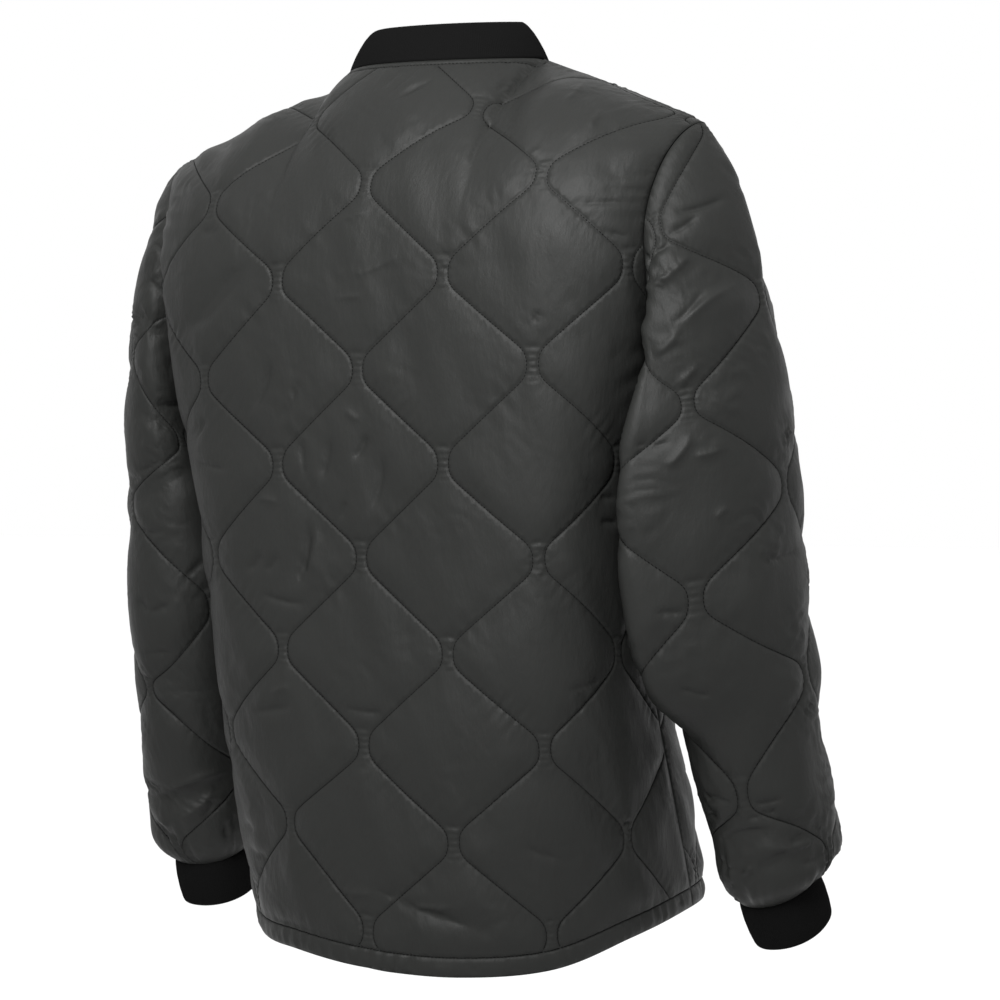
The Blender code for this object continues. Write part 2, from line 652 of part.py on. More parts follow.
def fullness(name, points):
    """The share of a cell's height that each point has, by how tight the cloth lies there."""
    if name not in TORSO_PIECES:
        return np.ones(len(points))
    knots = column(FULLNESS_COLUMNS, FULLNESS, "down")
    return smooth(knots, column(FULLNESS_COLUMNS, FULLNESS, "share"), points[:, 1])


def fold_rise(name, points):
    """How far the piece's folds raise or sink each point at the full height of a cell."""
    rise = np.zeros(len(points))
    for piece, from_x, from_down, to_x, to_down, half_width, height in FOLDS:
        if piece != name:
            continue
        start, way = np.array([from_x, from_down]), np.array([to_x - from_x, to_down - from_down])
        share = (points - start) @ way / (way @ way)
        away = np.linalg.norm(points - start - np.clip(share, 0, 1)[:, None] * way, axis=1)
        rise += height * np.exp(-((away / half_width) ** 2))
    return rise


def fold_points(name):
    """Points along the piece's folds, so that its mesh follows them."""
    found = []
    for piece, from_x, from_down, to_x, to_down, _, _ in FOLDS:
        if piece == name:
            found += line_between((from_x, from_down), (to_x, to_down), FOLD_STEP) + [(to_x, to_down)]
    return np.array(found)


def triangulate(outline, inner, lines):
    """Triangles over the flat cloth whose edges follow the outline and the stitches."""
    points = [tuple(p) for p in outline]
    edges = [(k, (k + 1) % len(outline)) for k in range(len(outline))]
    for line in lines:
        start = len(points)
        points += line
        edges += [(k, k + 1) for k in range(start, len(points) - 1)]
    points += [tuple(p) for p in inner]
    made = delaunay_2d_cdt([Vector(p) for p in points], edges, [], 1, 1e-7)
    flat = np.array([tuple(p) for p in made[0]])
    faces = [list(face) for face in made[2]]
    order = {}
    for new, old in enumerate(made[3]):
        for index in old:
            order[index] = new
    return flat, faces, [order[k] for k in range(len(outline))]


# ---------------------------------------------------------------- seams


class Seams:
    """The direction through the cloth, which two pieces share along the seam between them."""

    def __init__(self, place, mirrored=False):
        self.place, self.mirrored, self.edges = place, mirrored, []

    def share(self, flat, directions, reach):
        self.edges.append((np.asarray(flat), np.asarray(directions), reach))

    def own(self, flat):
        return normals(self.place, flat) * (-1 if self.mirrored else 1)

    def through(self, flat):
        directions = self.own(flat)
        for edge, shared, reach in self.edges:
            apart = np.linalg.norm(flat[:, None] - edge[None], axis=2)
            nearest = apart.argmin(axis=1)
            near = np.clip(1 - (apart.min(axis=1) - 0.0005) / reach, 0, 1)[:, None]
            directions = unit(directions + (shared[nearest] - directions) * near**2)
        return directions


# ---------------------------------------------------------------- closed walls


def new_object(name, points, faces, colour, roughness, metallic=0.0, weld=0.0):
    """A closed body facing out. Where weld is given, points closer than it become one."""
    mesh = bpy.data.meshes.new(name)
    points = settle(points, name in TORSO_PIECES)
    mesh.from_pydata([tuple(p) for p in points], [], faces)
    work = bmesh.new()
    work.from_mesh(mesh)
    if weld:
        bmesh.ops.remove_doubles(work, verts=work.verts, dist=weld)
    bmesh.ops.recalc_face_normals(work, faces=work.faces)
    work.to_mesh(mesh)
    work.free()
    mesh.shade_smooth()
    mesh.set_sharp_from_angle(angle=math.radians(50))
    made = bpy.data.objects.new(name, mesh)
    bpy.context.scene.collection.objects.link(made)
    material = bpy.data.materials.new(name)
    material.use_nodes = True
    shader = material.node_tree.nodes["Principled BSDF"]
    shader.inputs["Base Color"].default_value = (*colour, 1)
    shader.inputs["Roughness"].default_value = roughness
    shader.inputs["Metallic"].default_value = metallic
    mesh.materials.append(material)
    return made


def quilted_piece(name, outline, gaps, open_edges, seams, first_neck):
    """One cut piece of quilting as a closed wall, swollen between its stitches and plain inside.

    gaps is how far each outline point is drawn in for its seam. open_edges says whether the edge from
    a point to the next one has a rim, which it hasn't where the piece is sewn to itself as a tube.
    """
    edge = inset(outline, gaps)
    lines = stitch_lines(edge, first_neck)
    stitched = np.array([point for line in lines for point in line])
    crests = lattice(edge, OUTSIDE_STEP, EDGE_STEP * 0.45)
    folds = fold_points(name)
    crests = crests[nearest_distance(crests, folds) > FOLD_STEP * 0.6]
    crests = np.vstack([crests, folds])
    apart = nearest_distance(crests, stitched)
    flat, faces, border = triangulate(edge, crests[apart > OUTSIDE_STEP * 0.4], lines)
    sewn = np.minimum(stitch_distance(flat, lines), np.abs(inside_distance(flat, edge)))
    height = swell(sewn) * fullness(name, flat)
    height += fold_rise(name, flat) * swell(sewn) / PUFF
    height[border] = 0
    outer = seams.place(flat) + seams.through(flat) * height[:, None]

    plain = lattice(edge, INSIDE_STEP, INSIDE_STEP * 0.45)
    inner_flat, inner_faces, inner_border = triangulate(edge, plain, [])
    inner = seams.place(inner_flat) - seams.through(inner_flat) * WALL

    first = len(outer)
    faces += [[k + first for k in face] for face in inner_faces]
    for k, is_open in enumerate(open_edges):
        after = (k + 1) % len(border)
        if is_open:
            a, b = border[k], border[after]
            c, d = inner_border[after] + first, inner_border[k] + first
            faces += [[a, b, c], [a, c, d]]
    weld = 0.0 if all(open_edges) else 0.00002
    return new_object(name, np.vstack([outer, inner]), faces, SHELL_COLOUR, SHELL_ROUGHNESS, weld=weld)


def ribbed_wall(name, outer, inner, closed):
    """A ribbed wall: fine outer columns with the ribs, and a plain inside with one column for every few.

    Both are rows of points from one open edge to the other, and share their first and last columns.
    """
    rows, fine = outer.shape[:2]
    coarse = inner.shape[1]
    share = (fine if closed else fine - 1) // (coarse if closed else coarse - 1)
    points = np.vstack([outer.reshape(-1, 3), inner.reshape(-1, 3)])
    first = rows * fine

    def quads(start, columns):
        found = []
        for i in range(rows - 1):
            for j in range(columns if closed else columns - 1):
                a, b = start + i * columns + j, start + i * columns + (j + 1) % columns
                found += [[a, b, b + columns], [a, b + columns, a + columns]]
        return found

    faces = quads(0, fine) + quads(first, coarse)
    for i in (0, rows - 1):
        for j in range(coarse if closed else coarse - 1):
            c, d = first + i * coarse + j, first + i * coarse + (j + 1) % coarse
            across = [i * fine + (j * share + k) % fine for k in range(share + 1)]
            middle = share // 2
            faces += [[c, across[k], across[k + 1]] for k in range(middle)]
            faces += [[d, across[k], across[k + 1]] for k in range(middle, share)]
            faces.append([c, across[middle], d])
    for j in () if closed else (0, 1):
        for i in range(rows - 1):
            a, b = i * fine + j * (fine - 1), (i + 1) * fine + j * (fine - 1)
            c, d = first + i * coarse + j * (coarse - 1), first + (i + 1) * coarse + j * (coarse - 1)
            faces += [[a, b, d], [a, d, c]]
    return new_object(name, points, faces, RIB_COLOUR, RIB_ROUGHNESS)


# ---------------------------------------------------------------- torso pieces

SHOULDER_STEPS = 8
SIDE_STEPS = 22
HEM_STEP = 0.019
HALF_GAP = SEAM_GAP / 2


def neck_point(turn):
    """The neck seam in space, at an angle from centre back, plus to the wearer's left."""
    x = NECK_HALF_WIDTH * abs(math.sin(turn))
    point = top_line(np.array(x), abs(turn) > math.pi / 2)
    return point * [math.copysign(1, turn), 1, 1]


def neck_outward(turn):
    """Level direction away from the neck."""
    along = neck_point(turn + 0.01) - neck_point(turn - 0.01)
    outward = np.array([-along[1], along[0], 0.0])
    level = outward / np.linalg.norm(outward)
    middle = np.array([0.0, NECK_WIDEST, 0.0])
    return level if level @ (neck_point(turn) - middle) > 0 else -level


def collar_rise(turn):
    """The direction in which the collar stands, leaning in towards the neck."""
    lean = math.atan2(COLLAR_TAPER, COLLAR_HEIGHT)
    return np.array([0, 0, math.cos(lean)]) - neck_outward(turn) * math.sin(lean)


def collar_through(turn):
    lean = math.atan2(COLLAR_TAPER, COLLAR_HEIGHT)
    return np.array([0, 0, math.sin(lean)]) + neck_outward(turn) * math.cos(lean)


def neck_flat(front):
    """The neck edge on the flat cloth, from the middle to the shoulder seam."""
    form = FRONT_FORM if front else BACK_FORM
    across = NECK_HALF_WIDTH * np.sin(neck_steps(front))
    return np.array([(x, top_down(form, x, front)) for x in across])


def neck_directions(front):
    """Angles from centre back and directions through the cloth at the neck edge, on the wearer's left."""
    place, flip, turns = place_back, -1, neck_steps(front)
    if front:
        place, flip, turns = place_front, 1, math.pi - turns
    own = normals(place, neck_flat(front) * [flip, 1])
    own[-1] = shoulder_through(1)
    return turns, unit(own + np.array([collar_through(turn) for turn in turns]))


def side_edge(front):
    """The side seam on the flat cloth, from the underarm to the hem."""
    low = UNDERARM_DOWN
    high = low
    for _ in range(40):
        high = float(hem_down(side_seam_arc(high)[0]))
    edge = []
    for down in np.linspace(low, high, SIDE_STEPS + 1):
        arc, total = side_seam_arc(down)
        edge.append((total - arc if front else arc, down))
    return edge


def half_outline(front):
    """Half a torso piece from its neck edge by the middle round to its hem, as named runs of points."""
    form = FRONT_FORM if front else BACK_FORM
    start = FRONT_EDGE if front else 0.0
    neck = [tuple(point) for point in neck_flat(front)]
    xs = np.linspace(NECK_HALF_WIDTH, SHOULDER_X, SHOULDER_STEPS + 1)
    shoulder = [(x, top_down(form, x, front)) for x in xs]
    armhole = [tuple(p) for p in ARMHOLE_FLAT["front" if front else "back"]]
    side = side_edge(front)
    corner, level = side[-1]
    hem = []
    for x in np.linspace(corner, start, math.ceil((corner - start) / HEM_STEP) + 1):
        down = level
        for _ in range(10):
            down = float(hem_down(side_seam_arc(down)[1] - x if front else x))
        hem.append((x, down))
    return {"neck": neck, "shoulder": shoulder, "armhole": armhole, "side": side, "hem": hem}


def shoulder_through(sign):
    slope = (SHOULDER_DROP + NECK_SIDE_RISE) / (SHOULDER_X - NECK_HALF_WIDTH)
    return unit(np.array([slope * sign, 0.0, 1.0]))


def armhole_through(side, half):
    """The shared direction at each armhole point, between the body's own and the sleeve's."""
    mirror = 1 if side == "left" else -1
    if half == "back":
        body = normals(place_back, ARMHOLE_FLAT["back"] * [-mirror, 1])
    else:
        body = normals(place_front, ARMHOLE_FLAT["front"] * [mirror, 1])
    around = normals(SLEEVE_FORM[side].at, head_flat(1 if half == "back" else -1)) * mirror
    return unit(body + around)


NECK_TURNS = np.concatenate([neck_directions(False)[0], neck_directions(True)[0][::-1]])
NECK_THROUGH = np.vstack([neck_directions(False)[1], neck_directions(True)[1][::-1]])
SLEEVE_FORM = {side: SleeveForm(side) for side in ("left", "right")}
HALVES = {"back": half_outline(False), "front": half_outline(True)}
ARMHOLE_THROUGH = {}
for side in ("left", "right"):
    behind, ahead = armhole_through(side, "back"), armhole_through(side, "front")
    loop = np.vstack([ahead[:0:-1], behind[:-1]])
    loop[0] = ahead[-1] + behind[-1]
    for _ in range(3):
        loop = unit(np.roll(loop, 1, axis=0) + 2 * unit(loop) + np.roll(loop, -1, axis=0))
    ARMHOLE_THROUGH[side, "front"] = loop[ARMHOLE_POINTS - 1 :: -1]
    ARMHOLE_THROUGH[side, "back"] = np.vstack([loop[ARMHOLE_POINTS - 1 :], loop[:1]])


def share_torso_seams(seams, half, side):
    """Gives a torso piece the directions of its seams on one side of the garment."""
    mirror = 1 if side == "left" else -1
    flip = -mirror if half == "back" else mirror
    runs = HALVES[half]
    shoulder = np.array(runs["shoulder"]) * [flip, 1]
    seams.share(shoulder, np.tile(shoulder_through(mirror), (len(shoulder), 1)), 0.03)
    neck = np.array(runs["neck"]) * [flip, 1]
    seams.share(neck, neck_directions(half == "front")[1] * [mirror, 1, 1], 0.02)
    armhole = np.array(runs["armhole"]) * [flip, 1]
    seams.share(armhole, ARMHOLE_THROUGH[side, half], 0.03)


def run_points(runs, names):
    """The runs one after another, each without its last point, which starts the next."""
    return [point for name in names for point in runs[name][:-1]]


def make_back():
    runs = HALVES["back"]
    names = ("neck", "shoulder", "armhole", "side", "hem")
    right = run_points(runs, names)
    left = [(-x, y) for x, y in reversed(right[1:])]
    outline = right + [runs["hem"][-1]] + left
    seams = Seams(place_back)
    for side in ("left", "right"):
        share_torso_seams(seams, "back", side)
    quilted_piece("back", outline, [HALF_GAP] * len(outline), [True] * len(outline), seams, BACK_NECK_DOWN)


def make_front(side):
    runs = HALVES["front"]
    flip = 1 if side == "left" else -1
    outline = run_points(runs, ("neck", "shoulder", "armhole", "side", "hem"))
    bottom, top = runs["hem"][-1], runs["neck"][0]
    outline += line_between(bottom, top, EDGE_STEP)
    outline = [(x * flip, y) for x, y in outline]
    seams = Seams(place_front)
    share_torso_seams(seams, "front", side)
    gaps = [HALF_GAP] * len(outline)
    quilted_piece(f"front_{side}", outline, gaps, [True] * len(outline), seams, FRONT_NECK_DOWN)


# ---------------------------------------------------------------- sleeves and cuffs


def sleeve_outline():
    """The sleeve's cut, from the front underarm over the head to the back underarm and down to the cuff."""
    head = np.vstack([head_flat(-1)[:0:-1], head_flat(1)]) + [0, ARMHOLE_GAP]
    levels = np.linspace(CAP_DEPTH + ARMHOLE_GAP, SLEEVE_LENGTH, SLEEVE_SEAM_STEPS + 1)
    back_seam = np.stack([cut_half_width(levels), levels], axis=-1)
    shares = np.linspace(1, -1, CUFF_EDGE_STEPS + 1)
    end = np.full_like(shares, SLEEVE_LENGTH)
    bottom = np.stack([cut_half_width(end) * shares, end], axis=-1)
    front_seam = back_seam[::-1] * [-1, 1]
    runs = ((head, True), (back_seam, False), (bottom, True), (front_seam, False))
    outline = [tuple(point) for run, _ in runs for point in run[:-1]]
    return outline, [is_open for run, is_open in runs for _ in run[:-1]]


def cuff_axis(form, share):
    """Places on the sleeve's end, the way the cuff runs from there, and the way away from its middle."""
    end = np.full_like(share, SLEEVE_LENGTH)
    ring = form.ring_at(share, end)
    front, back, outer, inner = form.ring_at(np.array([-0.5, 0.5, 0.0, 1.0]), np.full(4, SLEEVE_LENGTH))
    axis = np.cross(back - front, outer - inner)
    axis *= -np.sign(axis[2]) / np.linalg.norm(axis)
    away = ring - (front + back) / 2
    away = unit(away - (away @ axis)[:, None] * axis)
    return ring, axis, away


def cuff_edge_through(side, share):
    form = SLEEVE_FORM[side]
    level = SLEEVE_LENGTH - 0.004
    flat = np.stack([share * cut_half_width(level), np.full_like(share, level)], axis=-1)
    around = normals(form.at, flat) * form.mirror
    around[0] = around[-1] = unit(around[0] + around[-1])
    return unit(around + cuff_axis(form, share)[2])


def make_sleeve(side):
    form = SLEEVE_FORM[side]
    outline, is_open = sleeve_outline()
    seams = Seams(form.at, mirrored=side == "right")
    levels = np.linspace(CAP_DEPTH, SLEEVE_LENGTH, 4 * SLEEVE_SEAM_STEPS)
    underarm = np.stack([cut_half_width(levels), levels], axis=-1)
    shared = unit(seams.own(underarm) + seams.own(underarm * [-1, 1]))
    for sign in (1, -1):
        seams.share(underarm * [sign, 1], shared, 0.02)
    for half, sign in (("back", 1), ("front", -1)):
        seams.share(head_flat(sign), ARMHOLE_THROUGH[side, half], 0.03)
    share = np.linspace(-1, 1, CUFF_EDGE_STEPS + 1)
    bottom = np.stack([share * cut_half_width(SLEEVE_LENGTH), np.full_like(share, SLEEVE_LENGTH)], axis=-1)
    seams.share(bottom, cuff_edge_through(side, share), 0.012)
    quilted_piece(f"sleeve_{side}", outline, [0.0] * len(outline), is_open, seams, SLEEVE_NECK_DOWN[side])


def rib_rise(index):
    return RIB_RISE * (index % 2)


def make_cuff(side):
    """A ribbed tube from the sleeve's end, drawn in a little at its free edge."""
    form = SLEEVE_FORM[side]
    nodes = np.linspace(-1, 1, CUFF_EDGE_STEPS + 1)
    ring, axis, away = cuff_axis(form, nodes)
    edge = cuff_edge_through(side, nodes)
    fine = np.linspace(-1, 1, CUFF_EDGE_STEPS * CUFF_FINE + 1)[:-1]

    def spread(values, at):
        return np.stack([np.interp(at, nodes, values[:, k]) for k in range(3)], axis=-1)

    outer, inner = [], []
    for index, (down, bulge, outside, inside) in enumerate(CUFF_ROWS):
        for found, at, depth, ribs in ((outer, fine, outside, 1), (inner, nodes[:-1], -inside, 0)):
            through = spread(edge if index == 0 else away, at)
            rise = np.array([rib_rise(k) * ribs for k in range(len(at))])
            points = spread(ring, at) + axis * (down + SEAM_GAP) + spread(away, at) * bulge
            found.append(points + through * (depth + rise)[:, None])
    ribbed_wall(f"cuff_{side}", np.array(outer), np.array(inner), closed=True)


# ---------------------------------------------------------------- collar


def make_collar():
    """A ribbed band that stands on the neck seam, open at centre front."""
    reach = math.pi - math.asin(COLLAR_END / NECK_HALF_WIDTH)
    turns = np.linspace(-reach, reach, 721)
    lengths = arc_lengths(np.array([neck_point(turn) for turn in turns]))
    coarse = np.interp(np.linspace(0, lengths[-1], COLLAR_STEPS + 1), lengths, turns)
    fine = np.interp(np.arange(COLLAR_STEPS * COLLAR_FINE + 1) / COLLAR_FINE, np.arange(len(coarse)), coarse)
    outer, inner = [], []
    for index, (height, outside, inside) in enumerate(COLLAR_ROWS):
        for found, turns, depth, ribs in ((outer, fine, outside, 1), (inner, coarse, -inside, 0)):
            row = []
            for k, turn in enumerate(turns):
                through = collar_foot_through(turn) if index == 0 else collar_through(turn)
                foot = neck_point(turn) + collar_rise(turn) * (height + SEAM_GAP)
                row.append(foot + through * (depth + rib_rise(k) * ribs))
            found.append(row)
    ribbed_wall("collar", np.array(outer), np.array(inner), closed=False)


def collar_foot_through(turn):
    """The direction through the cloth where the collar meets the body."""
    return unit(np.array([np.interp(abs(turn), NECK_TURNS, NECK_THROUGH[:, k]) for k in range(3)])) * [
        math.copysign(1, turn), 1, 1,
    ]


# ---------------------------------------------------------------- zip


def zip_frame(down):
    """Centre front at a place down the cloth: its point, the way down and the way out."""
    points = FRONT_FORM.at(np.array([[0.0, down - 0.004], [0.0, down], [0.0, down + 0.004]]))
    along = unit(points[2] - points[0])
    out = np.cross(along, [1.0, 0.0, 0.0])
    out = unit(out) * (-1 if out[1] > 0 else 1)
    return points[1], along, out


def zip_half_gap(down):
    """Half the gap between the rows of teeth, which part where the slider's post stands between them."""
    above_post = np.clip((SLIDER_DOWN + 0.003 - down) / 0.005, 0, 1)
    return HALF_GAP + (SLIDER_POST + 0.0004 - HALF_GAP) * above_post


def make_zip_tape(side):
    """A woven tape behind the front's edge, with the row of teeth as a plain bead along its inner edge."""
    mirror = 1 if side == "left" else -1
    top = top_down(FRONT_FORM, FRONT_EDGE, True) + 0.0015
    bottom = side_free_hem() - 0.002
    beside_slider = np.linspace(SLIDER_DOWN - 0.004, SLIDER_DOWN + 0.006, 5)
    downs = np.concatenate([[top], beside_slider, np.arange(SLIDER_DOWN + 0.02, bottom, TAPE_STEP), [bottom]])
    rings = []
    for down in downs:
        gap = zip_half_gap(down)
        profile = [
            (gap, TEETH_FRONT), (gap + TEETH_WIDTH, TEETH_FRONT), (gap + TEETH_WIDTH, TAPE_FRONT),
            (TAPE_EDGE, TAPE_FRONT), (TAPE_EDGE, TAPE_BACK), (gap + TEETH_WIDTH, TAPE_BACK),
            (gap + TEETH_WIDTH, TEETH_BACK), (gap, TEETH_BACK),
        ]
        _, _, out = zip_frame(down)
        ring = []
        for x, depth in profile:
            on_form = FRONT_FORM.at(np.array([[x, down]]))[0]
            ring.append((on_form - out * depth) * [mirror, 1, 1])
        rings.append(ring)
    size = len(rings[0])
    points = [point for ring in rings for point in ring]
    faces = [list(range(size)), list(range(len(points) - size, len(points)))]
    for i in range(len(rings) - 1):
        for j in range(size):
            a, b = i * size + j, i * size + (j + 1) % size
            faces.append([a, b, b + size, a + size])
    new_object(f"zip_tape_{side}", points, faces, TAPE_COLOUR, 0.8)


def side_free_hem():
    """How far down the fronts' hem lies at centre front."""
    return HALVES["front"]["hem"][-1][1]


def block(x, along, out):
    """Corners of a box given its ranges across, down the zip and out from the cloth."""
    return [(a, b, c) for a in x for b in along for c in out]


def place_on_zip(objects, down, name, colour, roughness, metallic):
    """Joins convex shapes, given by points in the zip's own directions, into one body on the zip."""
    origin, along, out = zip_frame(down)
    made = []
    for index, shape in enumerate(objects):
        work = bmesh.new()
        for x, t, n in shape:
            work.verts.new(origin + np.array([1.0, 0, 0]) * x + along * t + out * n)
        hull = bmesh.ops.convex_hull(work, input=work.verts)
        loose = [item for item in hull["geom_interior"] if isinstance(item, bmesh.types.BMVert)]
        bmesh.ops.delete(work, geom=loose, context="VERTS")
        bmesh.ops.recalc_face_normals(work, faces=work.faces)
        mesh = bpy.data.meshes.new(f"{name}_{index}")
        work.to_mesh(mesh)
        work.free()
        part = bpy.data.objects.new(f"{name}_{index}", mesh)
        bpy.context.scene.collection.objects.link(part)
        made.append(part)
    return unite(made, name, colour, roughness, metallic)


def unite(parts, name, colour, roughness, metallic):
    """One body from overlapping ones."""
    first = parts[0]
    for part in parts[1:]:
        union = first.modifiers.new("union", "BOOLEAN")
        union.operation = "UNION"
        union.object = part
        part.hide_render = True
        part.display_type = "WIRE"
    bpy.context.view_layer.update()
    evaluated = first.evaluated_get(bpy.context.evaluated_depsgraph_get())
    mesh = bpy.data.meshes.new_from_object(evaluated)
    points = [tuple(v.co) for v in mesh.vertices]
    faces = [list(p.vertices) for p in mesh.polygons]
    for part in parts:
        bpy.data.objects.remove(part)
    return new_object(name, points, faces, colour, roughness, metallic)


def round_bar(radius, half_length, centre_out, sides=12):
    """Points of a bar that lies across the zip."""
    turns = [2 * math.pi * k / sides for k in range(sides)]
    ring = [(radius * math.cos(t), centre_out + radius * math.sin(t)) for t in turns]
    return [(x, t, n) for x in (-half_length, half_length) for t, n in ring]


def make_slider():
    """Front and back plates, the post between the rows of teeth, and the arch that holds the pull."""
    half = SLIDER_WIDTH / 2
    front, back = SLIDER_FRONT, SLIDER_BACK
    shapes = [
        block((-half, half), (-0.0055, 0.0045), front),
        block((-half * 0.8, half * 0.8), (-0.0062, 0.0055), (front[0] + SET_IN, front[1] - SET_IN)),
        block((-half, half), (-0.0055, 0.0045), back),
        block((-SLIDER_POST, SLIDER_POST), (-0.0052, -0.0030), (back[0] + 0.0004, front[1] - 0.0004)),
    ]
    low, high = front[1] - 0.0004, ARCH_OUT
    for start, end in ((-ARCH_HALF, -ARCH_HALF + ARCH_BAR), (ARCH_HALF - ARCH_BAR, ARCH_HALF)):
        leg = ARCH_WIDTH / 2 - SET_IN
        shapes.append(block((-leg, leg), (start + SET_IN, end - SET_IN), (low, high - SET_IN)))
    arch = (high - ARCH_BAR, high)
    shapes.append(block((-ARCH_WIDTH / 2, ARCH_WIDTH / 2), (-ARCH_HALF, ARCH_HALF), arch))
    place_on_zip(shapes, SLIDER_DOWN, "zip_slider", METAL_COLOUR, 0.35, 0.9)


def make_pull():
    """An eye round the slider's arch, and the tab that hangs from it."""
    bar, out = PULL_BAR, HINGE_OUT
    arm = (PULL_EYE_HALF, PULL_WIDTH / 2)
    thick = (out - PULL_THICK / 2, out + PULL_THICK / 2)
    thin = (thick[0] + SET_IN, thick[1] - SET_IN)
    shapes = [round_bar(bar, arm[1] - 2 * SET_IN, out)]
    for sign in (1, -1):
        side = (arm[0] * sign, (arm[1] - SET_IN) * sign)
        shapes.append(block(side, (0, PULL_EYE_END + 0.001), thin))
    shapes.append(block((-arm[1], arm[1]), (PULL_EYE_END, PULL_LENGTH), thick))
    place_on_zip(shapes, SLIDER_DOWN, "zip_pull", METAL_COLOUR, 0.35, 0.9)


def main():
    for old in list(bpy.data.objects):
        bpy.data.objects.remove(old)
    make_back()
    for side in ("left", "right"):
        make_front(side)
        make_sleeve(side)
        make_cuff(side)
        make_zip_tape(side)
    make_collar()
    make_slider()
    make_pull()


main()
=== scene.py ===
"""The looks of the quilted zip jacket: its cloth, stitching, rib knit, zip, materials, lights and camera.

Metres, +Z up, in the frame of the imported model. The wearer faces -Y and the wearer's left is +X. The
cut pieces are drawn flat and laid on the same forms as the solids, which this file repeats, with a
much finer mesh that carries the quilting, puckers and folds.
"""

import math

import bmesh
import bpy
import numpy as np
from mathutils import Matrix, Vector, kdtree
from mathutils.geometry import delaunay_2d_cdt

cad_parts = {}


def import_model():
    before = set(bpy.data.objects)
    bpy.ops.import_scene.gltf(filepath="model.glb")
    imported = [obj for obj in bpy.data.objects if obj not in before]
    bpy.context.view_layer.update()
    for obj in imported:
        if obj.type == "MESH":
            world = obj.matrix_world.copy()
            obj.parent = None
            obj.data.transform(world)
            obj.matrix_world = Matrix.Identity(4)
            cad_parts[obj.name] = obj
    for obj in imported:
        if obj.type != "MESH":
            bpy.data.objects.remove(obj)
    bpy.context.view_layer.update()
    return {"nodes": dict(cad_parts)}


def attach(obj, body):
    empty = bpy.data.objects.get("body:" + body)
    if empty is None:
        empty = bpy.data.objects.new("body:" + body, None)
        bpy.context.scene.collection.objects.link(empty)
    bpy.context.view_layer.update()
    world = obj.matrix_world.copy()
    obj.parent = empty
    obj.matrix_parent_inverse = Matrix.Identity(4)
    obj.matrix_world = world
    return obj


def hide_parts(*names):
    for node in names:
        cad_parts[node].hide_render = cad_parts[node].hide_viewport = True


# Cloth
SEAM_GAP = 0.0003
ARMHOLE_GAP = 0.0007  # the sleeve's share, a little more where the armhole turns under the arm
WALL = 0.0026  # cloth and filling where a seam or a quilting stitch presses them together
PUFF = 0.0036  # how far a quilted cell swells over its stitches
PUFF_REACH = 0.034  # distance from a stitch at which the cell is at its full height

# Quilting: zigzag stitch lines that come close to each other at necks
QUILT_ACROSS = 0.075  # between two neighbouring columns of necks
QUILT_DOWN = 0.147  # between two necks of a column
NECK_HALF_GAP = 0.0045
NECK_HALF_LENGTH = 0.009
BACK_NECK_DOWN = 0.101  # first neck of the centre back column

# Torso sections. Squareness 2 is an ellipse, and more is boxier. The side seam is where the section's
# angle, from centre back, reaches the given degrees.
TORSO_COLUMNS = (
    "down", "half_width", "widest", "back", "front", "square_back", "square_front", "side_seam",
)
TORSO = (
    (0.050, 0.236, -0.004, 0.104, -0.118, 3.4, 2.5, 90),
    (0.130, 0.231, -0.004, 0.115, -0.132, 3.6, 2.5, 90),
    (0.200, 0.219, -0.006, 0.120, -0.140, 3.8, 2.4, 90),
    (0.270, 0.203, -0.008, 0.120, -0.146, 3.9, 2.3, 90),
    (0.350, 0.188, -0.010, 0.117, -0.152, 3.9, 2.3, 91),
    (0.420, 0.182, -0.014, 0.113, -0.160, 3.6, 2.3, 92),
    (0.500, 0.180, -0.024, 0.112, -0.172, 3.1, 2.3, 94),
    (0.580, 0.181, -0.044, 0.109, -0.200, 2.6, 2.5, 96),
    (0.660, 0.180, -0.070, 0.105, -0.234, 2.3, 2.6, 98),
    (0.740, 0.178, -0.092, 0.102, -0.258, 2.1, 2.6, 100),
)
HEM_COLUMNS = ("arc", "down")
HEM = ((0.000, 0.718), (0.075, 0.721), (0.150, 0.716), (0.225, 0.696), (0.300, 0.684), (0.550, 0.680))

# How the worn jacket hangs unevenly: a lift that grows from one x to another, and from one depth to
# another. The left shoulder sits low, and the left of the hem sits high. Each row gives the pieces,
# the lift, both x and both depths.
SETTLE = (
    ("all", -0.010, 0.030, 0.170, 0.420, 0.140),
    ("all", 0.004, -0.050, -0.180, 0.420, 0.140),
    ("torso", 0.013, -0.020, 0.090, 0.450, 0.700),
)

# Neck seam, shoulders and armholes
NECK_HALF_WIDTH = 0.086
NECK_BACK = 0.042
NECK_FRONT = -0.110
NECK_WIDEST = -0.030  # how far forward the neck seam meets the shoulder seams
NECK_SIDE_RISE = 0.004
NECK_FRONT_DROP = 0.066
SHOULDER_X = 0.240
SHOULDER_Y = -0.003
SHOULDER_DROP = 0.060
BLADE_DOWN = 0.170  # below this the back hangs straight, and above it the cloth turns over the shoulder
NECK_LEAN = 52  # degrees by which the cloth beside the neck already slopes
NECK_LEAN_START, NECK_LEAN_REACH = 0.8 * NECK_HALF_WIDTH, 0.066
ARMHOLE_COLUMNS = ("share", "back_across", "front_across")  # share of the way down from shoulder to underarm
ARMHOLE = (
    (0.00, 0.240, 0.240), (0.25, 0.237, 0.222), (0.50, 0.239, 0.212), (0.75, 0.255, 0.226),
    (0.90, 0.272, 0.248),
)
UNDERARM_DOWN = 0.285
FRONT_EDGE = 0.0045  # from the middle plane to each front's edge beside the zip

